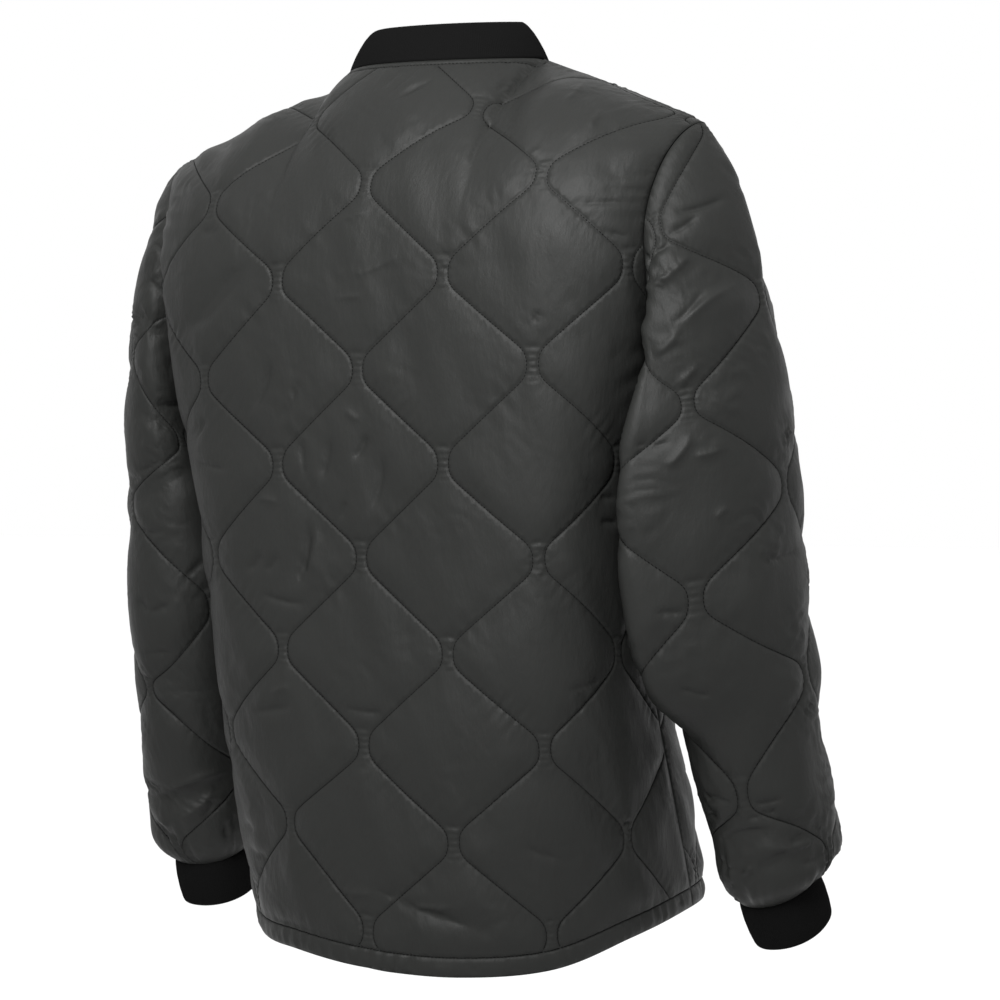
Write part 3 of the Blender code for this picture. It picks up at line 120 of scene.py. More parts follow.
# Left sleeve sections below its head, down from the shoulder point: the middle, and the reach outwards,
# inwards and to the back or front. The right sleeve mirrors it.
SLEEVE_COLUMNS = ("along", "x", "y", "z", "outer", "inner", "depth")
SLEEVE = (
    (0.300, 0.2390, -0.0240, -0.350, 0.0550, 0.0385, 0.0810),
    (0.350, 0.2440, -0.0262, -0.400, 0.0525, 0.0470, 0.0760),
    (0.400, 0.2500, -0.0330, -0.449, 0.0500, 0.0500, 0.0690),
    (0.450, 0.2560, -0.0470, -0.498, 0.0475, 0.0475, 0.0620),
    (0.500, 0.2603, -0.0550, -0.547, 0.0440, 0.0440, 0.0560),
    (0.545, 0.2648, -0.0715, -0.590, 0.0450, 0.0450, 0.0560),
    (0.575, 0.2675, -0.0780, -0.619, 0.0450, 0.0440, 0.0550),
    (0.600, 0.2685, -0.0825, -0.643, 0.0410, 0.0370, 0.0450),
    (0.612, 0.2668, -0.0840, -0.655, 0.0305, 0.0305, 0.0350),
)
SLEEVE_SQUARENESS = 2.2
ELBOW_LEAN = {"left": -0.012, "right": 0.0}  # how far the elbow is held back, or forward where negative
ELBOW_LEVELS = (0.32, 0.50)  # the lean is full above the first and gone below the second
# The cloth of an upper sleeve stands out behind the arm, between its back and its underarm
BEHIND_OUT = {"left": 0.0, "right": 0.038}
BEHIND_INWARD = 0.3  # and in towards the body, as a share of that
BEHIND_TURN, BEHIND_REACH = 2.0, 0.65  # radians round from the outer line
BEHIND_LEVELS = (0.40, 0.50)
OUTER_MORE = {"left": 0.001, "right": 0.006}  # how much further each sleeve reaches outwards, above its end
OUTER_LEVELS = (0.44, 0.60)
# How far each sleeve's end and its cuff turn outwards and forwards, as a share of the way down
WRIST_TURN = {"left": (0.10, -0.20), "right": (0.26, -0.34)}
WRIST_START = 0.560
SLEEVE_CUT_COLUMNS = ("along", "half_width")  # the cut is wider than the worn sleeve, and gathers at the cuff
SLEEVE_CUT = ((0.300, 0.214), (0.400, 0.192), (0.500, 0.168), (0.575, 0.155), (0.612, 0.148))
CAP_DEPTH = 0.165
# How the cloth leaves the armhole, at shares of the way from the shoulder point to the underarm
LEAVE_COLUMNS = ("share", "outward", "aside", "down")
LEAVE = (
    (0.00, 0.50, 0.00, 0.80), (0.25, 0.44, 0.16, 0.84), (0.50, 0.40, 0.22, 0.87),
    (0.75, 0.62, 0.16, 0.85), (1.00, 1.20, 0.00, 0.70),
)
SLEEVE_NECK_DOWN = {"left": 0.085, "right": 0.0}

# The largest folds: piece, one end's x and depth on the flat cloth, the other's, half width and rise. A
# rise below nothing is a trough. They fade out at the stitches.
FOLDS = (
    ("back", -0.168, 0.204, -0.110, 0.158, 0.012, -0.0034),
    ("back", 0.034, 0.664, 0.094, 0.682, 0.010, -0.0024),
    ("sleeve_right", 0.118, 0.568, 0.054, 0.554, 0.011, -0.0032),
    ("sleeve_right", 0.076, 0.582, 0.000, 0.568, 0.010, -0.0030),
    ("sleeve_right", 0.134, 0.112, 0.052, 0.098, 0.013, 0.0028),
    ("sleeve_right", 0.162, 0.156, 0.026, 0.146, 0.012, 0.0026),
    ("sleeve_right", -0.120, 0.300, -0.052, 0.280, 0.012, -0.0030),
    ("sleeve_right", -0.110, 0.566, -0.034, 0.556, 0.010, -0.0028),
    ("sleeve_left", 0.078, 0.124, 0.146, 0.128, 0.012, -0.0034),
    ("sleeve_left", 0.110, 0.206, 0.172, 0.220, 0.012, -0.0034),
    ("sleeve_left", 0.098, 0.296, 0.156, 0.262, 0.012, -0.0034),
    ("sleeve_left", 0.042, 0.552, 0.140, 0.530, 0.011, -0.0030),
    ("sleeve_left", -0.124, 0.288, -0.048, 0.274, 0.012, -0.0030),
    ("front_left", 0.170, 0.300, 0.226, 0.240, 0.012, -0.0030),
    ("front_right", -0.160, 0.330, -0.222, 0.262, 0.012, -0.0030),
)

# Collar
COLLAR_HEIGHT = 0.037
COLLAR_TAPER = 0.022
COLLAR_LEAN = math.atan2(COLLAR_TAPER, COLLAR_HEIGHT)
COLLAR_END = 0.0010  # from the middle plane to the collar's open ends

# Zip, with depths measured back from the fronts' outer face
FRONT_NECK_DOWN = 0.140
TAPE_EDGE = 0.0105
TAPE_FRONT, TAPE_BACK = 0.0034, 0.0044
TEETH_FRONT, TEETH_BACK = 0.0024, 0.0054
SLIDER_DOWN = 0.066
SLIDER_POST = 0.0012

# Cloth in the scene
FINE_STEP = 0.0032  # spacing of the points on the outside
CREASE_STEP = 0.0017  # and at its creases
LINING_STEP = 0.011
STITCH = 0.0029  # from one needle hole to the next
SHORTEST_RUN = 3 * STITCH
CORNER_RADIUS = 0.0135
EDGE_CLEAR = 0.0016  # how near a stitch line comes to a seam or to another line
# How full the torso's cells are, which lie flatter where the cloth is drawn over the shoulders
FULLNESS_COLUMNS = ("down", "share")
FULLNESS = ((0.05, 0.50), (0.20, 0.60), (0.40, 0.80), (0.60, 0.90))
PUFF_SHAPE = 2.3  # how fast a cell swells beside its stitches
# The filling sinks: a cell is steeper over the stitches below it, and gentler under those above
SAG, SAG_REACH = 0.28, 0.010
RELAX_ROUNDS = 6  # of evening out the ridges where two stitches are equally near
# Depth of the needle holes and, as a share of it, of the cloth between them, and how far from the
# stitches the cloth comes up again
HOLE_DEPTH, BETWEEN_HOLES, HOLE_RIM = 0.0016, 0.5, 0.0013
# How near to a stitch the mesh has points of its rims, and others
RIM_CLEAR, CREST_CLEAR = 0.8 * HOLE_RIM, HOLE_RIM + 0.5 * CREASE_STEP
PUCKER_REACH, PUCKER_RISE = 0.0045, 0.00036
# Ripples of the puckers: share of the height, pitch, slant across the cloth, share of the drift
PUCKER_WAVES = ((1.0, 0.0070, 0.35, 1.0), (0.6, 0.00427, -0.5, 1.7))
# How far from a seam or a stitch the puckers, the bulk of a cell, the creases and the rungs are whole
PUCKER_CLEAR, BULK_REACH, CREASE_CLEAR, RUNG_CLEAR = 0.004, 0.012, 0.006, 0.0015
DEEPEST = 0.3  # share of the wall below which no crease sinks
# Creases: the share of a line over which each end fades out, the sharpness of the ridge, how much of a
# crease makes the mesh finer, and how squarely the cloth faces the camera where the picture's hold
CREASE_ENDS, CREASE_SHARPNESS, NEAR_CREASE = 0.35, 1.9, 0.25
FACING_FROM, FACING_SPAN = 0.05, 0.25
DRIFT_PITCH, STRENGTH_PITCH = 0.03, 0.06  # over which the puckers change their pace and strength
# Soft waves all over: rise, spacing, how much longer than wide, and their turn
SOFT_RISE, SOFT_PITCH, SOFT_STRETCH, SOFT_TURN = 0.00055, 0.045, 2.2, 1.2
# Small wrinkles: their rise and the turn of their ridges, their spacing, how much longer than wide they
# are, and how far their ridges wander
WRINKLES = {"torso": (0.00034, 1.25), "sleeve_left": (0.00100, 0.55), "sleeve_right": (0.00100, -0.55)}
WRINKLE_PITCH, WRINKLE_STRETCH, WRINKLE_BEND = 0.011, 3.2, 0.006
WANDER_PITCH, PATCH_PITCH = 0.05, 0.07  # of the wandering, and of the patches that have wrinkles
LINING_RISE, LINING_PITCH = 0.0008, 0.05
WEAVE, TWILL_PITCH, KNIT_ROW = 0.00042, 0.0009, 0.0011  # spacings in the materials
NECK_BAND, HEM_BAND, ZIP_BAND = 0.0048, 0.0155, 0.0065  # from an edge to its topstitching
# Rise, pitch and reach of the gathers along an edge
HEM_GATHER = (0.0009, 0.0125, 0.0060)
NECK_GATHER = (0.0004, 0.0100, 0.0030)
ARMHOLE_GATHER = (0.0007, 0.0190, 0.0120)
HEAD_GATHER = (0.0010, 0.0170, 0.0110)
CUFF_GATHER = (0.0016, 0.0110, 0.0120)
ZIP_GATHER = (0.0004, 0.0110, 0.0035)
THREAD_SIDES = 3
# A stitch's share of the way, its radius there, and how far it stands over the line between its holes
THREAD_PROFILE = (
    (0.12, 0.00026, 0.00000), (0.34, 0.00056, 0.00095), (0.66, 0.00056, 0.00095), (0.88, 0.00026, 0.00000),
)
# In a neck the cloth lies in small rungs across, under one dark line
RUNG_RISE, RUNG_PITCH = 0.00042, 0.0050
RUNG_REACH = (0.0065, 0.0130)
LID_DEPTH, LID_UP, LID_WIDTH = 0.0012, 0.0135, 0.0022

# Outlines, finer than the solids'
ARMHOLE_POINTS = 65
ARMHOLE_EASE = 40
NECK_STEPS = 32
SHOULDER_STEPS = 40
SIDE_STEPS = 110
HEM_STEP = 0.004
SLEEVE_SEAM_STEPS = 120
CUFF_EDGE_STEPS = 90
HALF_GAP = SEAM_GAP / 2
# The tables of the forms: their spacing, and the reach of the torso's
TABLE_STEP = 0.0025
FORM_ACROSS, FORM_TOP, FORM_BOTTOM = 0.34, -0.12, 0.76
RING_STEPS, SLEEVE_RING_STEPS, COLUMN_STEPS, ARMHOLE_STEPS, HEAD_STEPS = 361, 121, 80, 200, 40
BEYOND_SEAM = 0.05  # how far the torso's form runs on beyond its upper seams
AXIS_STEP, ONWARD_STEP = 0.02, 0.01  # steps down the sleeve that give its direction
DENSE_STEP = 0.001
ZIGZAG_TURNS = 12  # up and down from a column's first neck
ROW_SHARE = 0.87  # distance between rows of evenly spread points, as a share of their spacing
WELD = 0.00002
# How far from a seam its shared direction still counts, and how near a point is on it
SEAM_REACH, NECK_REACH, CUFF_REACH, ON_SEAM = 0.03, 0.02, 0.012, 0.0005
ABOVE_CUFF = 0.004  # where the sleeve's direction is read for its end
INSIDE_TEST = 0.002
TURN_STEP = 0.01  # radians round the neck, which give its direction
EDGE_ROUNDS, HEM_ROUNDS = 40, 10  # of finding the hem's place on the cloth
RUN_ORDER = ("neck", "shoulder", "armhole", "side", "hem")

# Rib knit: sections as height up the band and depth out from its foot
RIB_PITCH, RIB_COLUMNS, RIB_ROW = 0.0016, 4, 0.0022
RIB_RELIEF = 0.00028
RIB_START, RIB_BLEND = 0.003, 0.008  # heights at which the ribs are whole, and the seam's direction is left
COLLAR_STEPS, CUFF_STEPS = 241, 121
COLLAR_PROFILE = (
    (0.0, 0.0002), (0.006, 0.0011), (0.013, 0.0019), (0.020, 0.0021), (0.027, 0.0018), (0.033, 0.0006),
    (0.0365, -0.0008), (0.0378, -0.0020), (0.0360, -0.0030), (0.030, -0.0016), (0.020, -0.0006),
    (0.010, -0.0012), (0.0, -0.0022), (0.0, 0.0002),
)
CUFF_PROFILE = (
    (0.0, 0.0), (0.006, 0.0010), (0.016, 0.0016), (0.028, 0.0012), (0.0375, 0.0000), (0.0400, -0.0010),
    (0.0375, -0.0022), (0.028, -0.0014), (0.010, -0.0014), (0.0, -0.0022), (0.0, 0.0),
)

# Zip teeth. A tooth's sections give the distance from its foot, half the length as a share of the pitch,
# how much less deep it is at the front and the back, and whether it reaches past the middle.
TOOTH_PITCH, TOOTH_LENGTH, TOOTH_REACH = 0.0032, 0.0022, 0.0004
TOOTH_SECTIONS = (
    (0.0, 0.30, 0.0006, True), (0.0004, 0.42, 0.0002, True), (0.0010, 0.26, 0.0001, True),
    (0.0012, 0.34, 0.0, False), (0.0024, 0.34, 0.0, False), (0.0027, 0.28, 0.0004, False),
)
TEETH_INSET = 0.004  # from the tape's ends to the first and the last tooth
TAPE_STEP, TAPE_BELOW_NECK, TAPE_ABOVE_HEM = 0.004, 0.0015, 0.002
BEAD_RISE, BEAD_WIDTH, BEAD_SLOPE, BEAD_IN_TOOTH = 0.0006, 0.0012, 0.0005, 0.35
# The slider's post parts the teeth: how far below its middle, over what length, and how much wider
POST_BELOW, POST_SPREAD, POST_CLEAR = 0.003, 0.005, 0.0004
ZIP_AROUND = 0.004  # steps up and down the zip that give its direction

# Colours
SHELL_DARK, SHELL_LIGHT = (0.0095, 0.0098, 0.0093), (0.0110, 0.0113, 0.0107)
LINING_DARK, LINING_LIGHT = (0.0110, 0.0112, 0.0110), (0.0140, 0.0142, 0.0140)
RIB_DARK, RIB_LIGHT = (0.0022, 0.0022, 0.0022), (0.0046, 0.0046, 0.0046)
TAPE_DARK, TAPE_LIGHT = (0.006, 0.006, 0.006), (0.011, 0.011, 0.011)
TOOTH_COLOUR = (0.010, 0.010, 0.010)
THREAD_COLOUR = (0.0012, 0.0012, 0.0012)
METAL_DARK, METAL_WORN = (0.020, 0.020, 0.021), (0.055, 0.055, 0.056)

# Camera, in the photograph's place
PICTURE = 1000
CAMERA_AZIMUTH = 209.5
CAMERA_DISTANCE = 2.8
CAMERA_TARGET = (0.0, 0.0, -0.32)
LENS, SENSOR = 124.45, 36.0
SHIFT_X, SHIFT_Y = 0.067, -0.038
CLIP_END = 60

# The key light's place, size, power, spread in degrees, and the height that it aims at
KEY_LIGHT = {
    "azimuth": 199, "height": 0.75, "distance": 1.5, "size": 0.9, "power": 32, "spread": 100,
    "aim_height": -0.19,
}
SUN_ANGLE, SUN_POWER = 90, 0.3
WORLD_COLOUR, WORLD_STRENGTH = (1.0, 1.0, 1.0), 1.0
FLOOR, FLOOR_REACH = -1.45, 40.0
FLOOR_COLOUR = (0.94, 0.94, 0.94)
SHELL_SPECULAR, RIB_SPECULAR, THREAD_SPECULAR = 0.08, 0.02, 0.05

# Each piece's creases, placed in the picture: the two ends, the bow of the line between them,
# half width and rise, all but the rise in the picture's pixels. A rise below nothing is a trough.
CREASES = {
    "back": (
        # from the topstitching under the collar
        (438, 79, 400, 100, 2, 3.5, -0.0016), (426, 82, 392, 106, 2, 3.5, -0.0015),
        (420, 70, 385, 100, 2, 3.5, -0.0015), (410, 66, 380, 90, 1, 3.5, -0.0015),
        (528, 74, 504, 100, 0, 3.5, -0.0013), (516, 76, 492, 96, 0, 3.5, -0.0011),
        (586, 86, 560, 110, 0, 4.0, 0.0013), (604, 110, 586, 132, 0, 4.0, 0.0013),
        (210, 145, 234, 145, 0, 5.0, -0.0019), (286, 101, 304, 110, 0, 4.0, -0.0020),
        # shoulder blades
        (186, 334, 246, 262, 3, 6.0, -0.0032), (200, 234, 218, 230, 0, 5.0, -0.0016),
        (352, 278, 404, 252, 2, 3.5, 0.0011), (336, 298, 366, 296, 0, 3.5, 0.0010),
        (338, 222, 374, 210, 0, 3.5, 0.0010), (528, 161, 540, 149, 0, 3.5, 0.0010),
        (590, 232, 632, 239, -2, 3.5, -0.0021), (566, 204, 630, 202, 0, 3.0, -0.0010),
        (540, 310, 532, 326, 0, 4.0, -0.0015),
        # middle
        (274, 356, 250, 418, -3, 5.0, -0.0025), (300, 376, 278, 426, -3, 4.5, -0.0020),
        (303, 434, 308, 484, 2, 4.5, -0.0021), (331, 434, 321, 484, -2, 4.5, -0.0021),
        (368, 432, 354, 462, -2, 4.5, -0.0025), (383, 450, 369, 519, -4, 4.5, -0.0022),
        (348, 498, 341, 523, 0, 4.0, -0.0016), (307, 514, 296, 590, -6, 5.5, -0.0035),
        (316, 518, 307, 580, -5, 4.0, 0.0015), (258, 591, 310, 604, 3, 4.0, -0.0021),
        (264, 550, 246, 573, -2, 5.0, -0.0019), (281, 552, 264, 573, -2, 5.0, -0.0019),
        (208, 415, 194, 447, 0, 5.0, -0.0019), (196, 459, 232, 470, 2, 3.5, -0.0016),
        (255, 497, 282, 502, 0, 4.0, 0.0014), (344, 409, 362, 422, 0, 4.0, 0.0014),
        (598, 497, 616, 498, 0, 4.0, -0.0020), (598, 522, 617, 522, 0, 4.0, -0.0020),
        # low
        (250, 711, 297, 704, 2, 6.0, -0.0025), (270, 694, 292, 685, 0, 4.5, 0.0015),
        (342, 707, 388, 712, 2, 3.5, -0.0019), (332, 888, 378, 894, 2, 4.5, 0.0015),
        (365, 882, 482, 929, 5, 4.0, -0.0025), (400, 904, 462, 906, 3, 4.5, 0.0016),
        (265, 912, 345, 941, 4, 4.5, -0.0025), (247, 818, 258, 833, 0, 4.5, -0.0020),
        (249, 844, 268, 860, 0, 4.5, -0.0020), (520, 842, 566, 858, 4, 4.5, -0.0016),
        (560, 690, 606, 676, 3, 4.5, -0.0015),
    ),
    "sleeve_right": (
        (670, 213, 728, 196, 4, 3.5, -0.0026), (666, 236, 700, 213, 2, 4.5, -0.0029),
        (640, 260, 676, 239, 2, 3.5, -0.0026), (644, 294, 693, 248, 4, 5.0, 0.0026),
        (650, 359, 682, 326, 3, 5.5, 0.0026), (676, 330, 738, 284, -6, 5.5, 0.0026),
        (668, 328, 704, 287, 3, 4.5, -0.0026), (673, 388, 700, 359, 2, 4.5, 0.0020),
        (662, 470, 692, 431, 3, 5.0, 0.0029), (690, 456, 725, 446, 2, 4.0, 0.0020),
        (712, 519, 727, 505, 0, 4.0, 0.0017), (631, 446, 673, 442, 1, 3.5, -0.0026),
        (650, 613, 698, 616, -2, 3.5, -0.0025), (676, 684, 714, 694, 2, 3.5, -0.0023),
        (760, 560, 797, 548, 3, 4.5, -0.0020), (714, 844, 776, 834, -6, 5.0, -0.0038),
        (750, 868, 790, 846, 5, 4.5, -0.0036), (786, 849, 828, 829, -5, 4.5, -0.0036),
        (738, 871, 767, 863, 2, 4.0, 0.0020), (768, 851, 822, 837, 3, 4.0, 0.0020),
        (746, 804, 785, 796, 2, 3.5, -0.0023), (745, 819, 780, 807, 2, 3.5, -0.0023),
        (702, 793, 735, 805, -2, 4.0, -0.0026), (708, 811, 719, 817, 0, 4.0, -0.0026),
        (795, 865, 828, 851, 3, 4.0, -0.0026), (718, 854, 738, 872, 2, 4.5, -0.0029),
    ),
    "sleeve_left": (
        (148, 274, 168, 299, 2, 5.0, -0.0027), (155, 240, 168, 256, 0, 4.5, -0.0020),
        (137, 315, 167, 337, 3, 5.0, -0.0030), (159, 324, 183, 337, 1, 5.0, -0.0035),
        (150, 412, 192, 406, -3, 5.0, -0.0032), (153, 413, 184, 433, 2, 4.5, -0.0024),
        (123, 467, 139, 485, 0, 5.0, -0.0027), (132, 474, 184, 460, -2, 4.5, -0.0024),
        (144, 497, 194, 467, -4, 6.0, -0.0038), (130, 528, 171, 534, 1, 3.5, -0.0018),
        (182, 583, 205, 554, 2, 4.5, -0.0024), (141, 597, 151, 614, 0, 4.0, -0.0022),
        (149, 613, 175, 600, 1, 4.0, -0.0022), (144, 653, 179, 652, -1, 3.5, -0.0019),
        (146, 775, 163, 791, 1, 4.5, -0.0024), (163, 791, 236, 770, -4, 5.0, 0.0024),
        (157, 817, 174, 825, 0, 4.0, 0.0019), (171, 826, 217, 784, 4, 5.0, 0.0022),
        (187, 840, 216, 794, 4, 4.5, -0.0030), (219, 837, 235, 811, 1, 4.5, -0.0024),
        (155, 816, 178, 840, 3, 4.5, -0.0030),
    ),
}

# Creases that the picture doesn't show: the two ends on the flat cloth, the bow, half width and rise
HIDDEN_CREASES = {
    "front_left": (
        (0.214, 0.150, 0.150, 0.196, 0.004, 0.0045, -0.0018),
        (0.222, 0.196, 0.166, 0.214, 0.003, 0.0045, -0.0015),
        (0.206, 0.110, 0.168, 0.132, 0.002, 0.0040, -0.0013),
        (0.090, 0.092, 0.134, 0.118, 0.002, 0.0035, 0.0010),
        (0.180, 0.388, 0.126, 0.420, 0.006, 0.0050, -0.0017),
        (0.150, 0.470, 0.108, 0.520, 0.005, 0.0045, -0.0015),
        (0.058, 0.330, 0.036, 0.392, 0.004, 0.0040, -0.0014),
        (0.052, 0.560, 0.110, 0.586, 0.004, 0.0045, -0.0016),
        (0.170, 0.610, 0.228, 0.600, 0.003, 0.0045, -0.0015),
    ),
    "front_right": (
        (-0.210, 0.140, -0.158, 0.190, -0.004, 0.0045, -0.0018),
        (-0.218, 0.206, -0.160, 0.232, -0.003, 0.0045, -0.0016),
        (-0.108, 0.100, -0.142, 0.138, 0.002, 0.0035, 0.0011),
        (-0.176, 0.362, -0.120, 0.398, -0.006, 0.0050, -0.0017),
        (-0.060, 0.420, -0.032, 0.486, 0.004, 0.0040, -0.0014),
        (-0.134, 0.500, -0.092, 0.556, 0.004, 0.0045, -0.0016),
        (-0.060, 0.600, -0.118, 0.632, 0.004, 0.0045, -0.0015),
        (-0.176, 0.586, -0.226, 0.566, 0.003, 0.0045, -0.0015),
    ),
    "sleeve_left": (
        (-0.060, 0.096, -0.128, 0.132, 0.004, 0.0045, -0.0018),
        (-0.040, 0.150, -0.104, 0.172, 0.004, 0.0045, 0.0015),
        (-0.176, 0.240, -0.112, 0.256, 0.004, 0.0045, -0.0019),
        (-0.140, 0.316, -0.070, 0.302, 0.005, 0.0050, -0.0022),
        (-0.096, 0.342, -0.036, 0.330, 0.003, 0.0040, -0.0016),
        (-0.130, 0.420, -0.082, 0.436, 0.003, 0.0040, -0.0015),
        (-0.020, 0.548, -0.092, 0.560, 0.004, 0.0045, -0.0019),
        (-0.070, 0.582, -0.128, 0.574, 0.003, 0.0040, -0.0018),
    ),
    "sleeve_right": (
        (-0.052, 0.088, -0.116, 0.128, 0.004, 0.0045, -0.0018),
        (-0.034, 0.160, -0.100, 0.190, 0.004, 0.0045, 0.0014),
        (-0.170, 0.226, -0.120, 0.250, 0.004, 0.0045, -0.0018),
        (-0.150, 0.330, -0.082, 0.306, 0.005, 0.0050, -0.0021),
        (-0.104, 0.362, -0.050, 0.344, 0.003, 0.0040, -0.0016),
        (-0.120, 0.440, -0.070, 0.462, 0.003, 0.0040, -0.0015),
        (-0.024, 0.536, -0.088, 0.548, 0.004, 0.0045, -0.0020),
        (-0.066, 0.584, -0.124, 0.572, 0.003, 0.0040, -0.0018),
    ),
}

TORSO_PIECES = ("back", "front_left", "front_right")
MIRROR = {"left": 1, "right": -1}
FRONT_SEED, SLEEVE_SEED = {"left": 31, "right": 41}, {"left": 51, "right": 61}


def column(columns, rows, name):
    return np.array([row[columns.index(name)] for row in rows], float)


def smooth(knots, values, at):
    """A smooth curve through a table's values, held level beyond its ends."""
    slopes = np.gradient(values, knots)
    at = np.clip(at, knots[0], knots[-1])
    i = np.clip(np.searchsorted(knots, at) - 1, 0, len(knots) - 2)
    span = knots[i + 1] - knots[i]
    return bend((at - knots[i]) / span, values[i], values[i + 1], span * slopes[i], span * slopes[i + 1])


def bend(t, start, end, leave, arrive):
    """A curve from start to end at shares t of the way, with its speed at both."""
    rise = (1 + 2 * t) * (1 - t) ** 2 * start + t * (1 - t) ** 2 * leave
    fall = t * t * (3 - 2 * t) * end + t * t * (t - 1) * arrive
    return rise + fall


def ease(share):
    """A soft step: 0 up to a share of 0, and 1 from a share of 1."""
    share = np.clip(share, 0, 1)
    return share**2 * (3 - 2 * share)


def ease_down(levels, along):
    """A soft step: 1 above the first level, and 0 below the second."""
    upper, lower = levels
    return ease((lower - along) / (lower - upper))


def reading(columns, rows, name, at):
    """A column of a table as a smooth curve over the table's first column."""
    return smooth(column(columns, rows, columns[0]), column(columns, rows, name), at)


def rows_of(*coordinates):
    """Rows of points from their coordinates, each an array or one number for all."""
    return np.stack(np.broadcast_arrays(*coordinates), axis=-1)


def torso(name, down):
    return reading(TORSO_COLUMNS, TORSO, name, down)


def sleeve(name, along):
    return reading(SLEEVE_COLUMNS, SLEEVE, name, along)


def hem_down(arc):
    return reading(HEM_COLUMNS, HEM, "down", arc)


def settle(points, is_torso=False):
    """Where points lie once the worn jacket has settled unevenly."""
    points = np.array(points, float)
    lift = np.zeros(len(points))
    for pieces, height, from_x, to_x, from_down, to_down in SETTLE:
        if pieces == "torso" and not is_torso:
            continue
        across = ease((points[:, 0] - from_x) / (to_x - from_x))
        down = ease((-points[:, 2] - from_down) / (to_down - from_down))
        lift += height * across * down
    points[:, 2] += lift
    return points


def unit(vectors):
    return vectors / np.linalg.norm(vectors, axis=-1, keepdims=True)


def arc_lengths(points):
    steps = np.linalg.norm(np.diff(points, axis=0), axis=1)
    return np.concatenate([[0.0], np.cumsum(steps)])


def along_line(points, lengths, at):
    """Points at the given lengths along a line of points."""
    return np.stack([np.interp(at, lengths, points[:, k]) for k in range(points.shape[1])], axis=-1)


def evenly(line, count):
    """A number of points at even spacing along a line."""
    lengths = arc_lengths(line)
    return along_line(line, lengths, np.linspace(0, lengths[-1], count))


def in_table(points, i, j):
    """Points at rows i and columns j of a table of points, which may lie between two."""
    i, j = (np.clip(k, 0, size - 1.001) for k, size in zip((i, j), points.shape))
    low_i, low_j = i.astype(int), j.astype(int)
    u, v = (i - low_i)[:, None], (j - low_j)[:, None]
    upper = (1 - v) * points[low_i, low_j] + v * points[low_i, low_j + 1]
    lower = (1 - v) * points[low_i + 1, low_j] + v * points[low_i + 1, low_j + 1]
    return (1 - u) * upper + u * lower


class Form:
    """The surface that a cut piece follows: a place in space for each place on the flat cloth."""

    def __init__(self, across, down, points):
        self.across, self.down, self.points = across, down, points

    def at(self, flat):
        """Places in space for rows of flat x and y."""
        j = np.interp(flat[:, 0], self.across, np.arange(len(self.across)))
        i = np.interp(flat[:, 1], self.down, np.arange(len(self.down)))
        return in_table(self.points, i, j)


def normals(place, flat, step=0.003):
    """Outward directions of a surface whose flat cloth is drawn as seen from outside."""
    right, below = np.array([step, 0.0]), np.array([0.0, step])
    across = place(flat + right) - place(flat - right)
    down = place(flat + below) - place(flat - below)
    return unit(np.cross(down, across))


# ---------------------------------------------------------------- torso form


def half_section(down):
    """Half a torso section, from centre back round the wearer's left to centre front."""
    turn = np.linspace(0, math.pi, RING_STEPS)
    behind = turn <= math.pi / 2
    squareness = np.where(behind, torso("square_back", down), torso("square_front", down))
    widest = torso("widest", down)
    depth = np.where(behind, torso("back", down) - widest, widest - torso("front", down))
    cosine = np.cos(turn)
    x = torso("half_width", down) * np.abs(np.sin(turn)) ** (2 / squareness)
    y = widest + depth * np.sign(cosine) * np.abs(cosine) ** (2 / squareness)
    return rows_of(x, y, -down)


def side_seam_arc(down):
    """Arc from centre back to the side seam, and the whole half section's arc."""
    points = half_section(down)
    lengths = arc_lengths(points)
    turn = np.linspace(0, 180, RING_STEPS)
    return np.interp(torso("side_seam", down), turn, lengths), lengths[-1]


def top_line(x, front):
    """The neck seam and then the shoulder seam, seen from above, at a distance x from the middle."""
    depth = NECK_FRONT if front else NECK_BACK
    inside = np.clip(x / NECK_HALF_WIDTH, 0, 1)
    bow = np.sqrt(1 - inside**2)
    drop = NECK_FRONT_DROP * bow**1.5 if front else NECK_SIDE_RISE * bow
    beyond = np.clip((x - NECK_HALF_WIDTH) / (SHOULDER_X - NECK_HALF_WIDTH), 0, None)
    neck_y = NECK_WIDEST + (depth - NECK_WIDEST) * bow
    y = neck_y + (SHOULDER_Y - NECK_WIDEST) * np.clip(beyond, 0, 1)
    z = NECK_SIDE_RISE - drop - (SHOULDER_DROP + NECK_SIDE_RISE) * beyond
    return rows_of(x, y, z)


def upper_column(x, foot, front):
    """One column of cloth from the blade level up to the neck or shoulder, with its arc lengths."""
    top = top_line(np.array(x), front)
    lean = math.radians(NECK_LEAN) * ease(1 - (x - NECK_LEAN_START) / NECK_LEAN_REACH)
    angle = np.linspace(math.pi / 2, lean, COLUMN_STEPS)
    rise = np.cos(angle) / math.cos(lean)
    forward = (1 - np.sin(angle)) / (1 - math.sin(lean))
    points = foot + (top - foot) * rows_of(rise**2, forward, rise)
    beyond = points[-1] + unit(points[-1] - points[-3]) * BEYOND_SEAM
    points = np.vstack([points, beyond])
    return points, arc_lengths(points)


def neck_steps(front):
    """Angles from the middle of the front or back to the neck edge's points, up to the shoulder seam."""
    start = math.asin((FRONT_EDGE if front else 0) / NECK_HALF_WIDTH)
    return np.linspace(start, math.pi / 2, NECK_STEPS + 1)


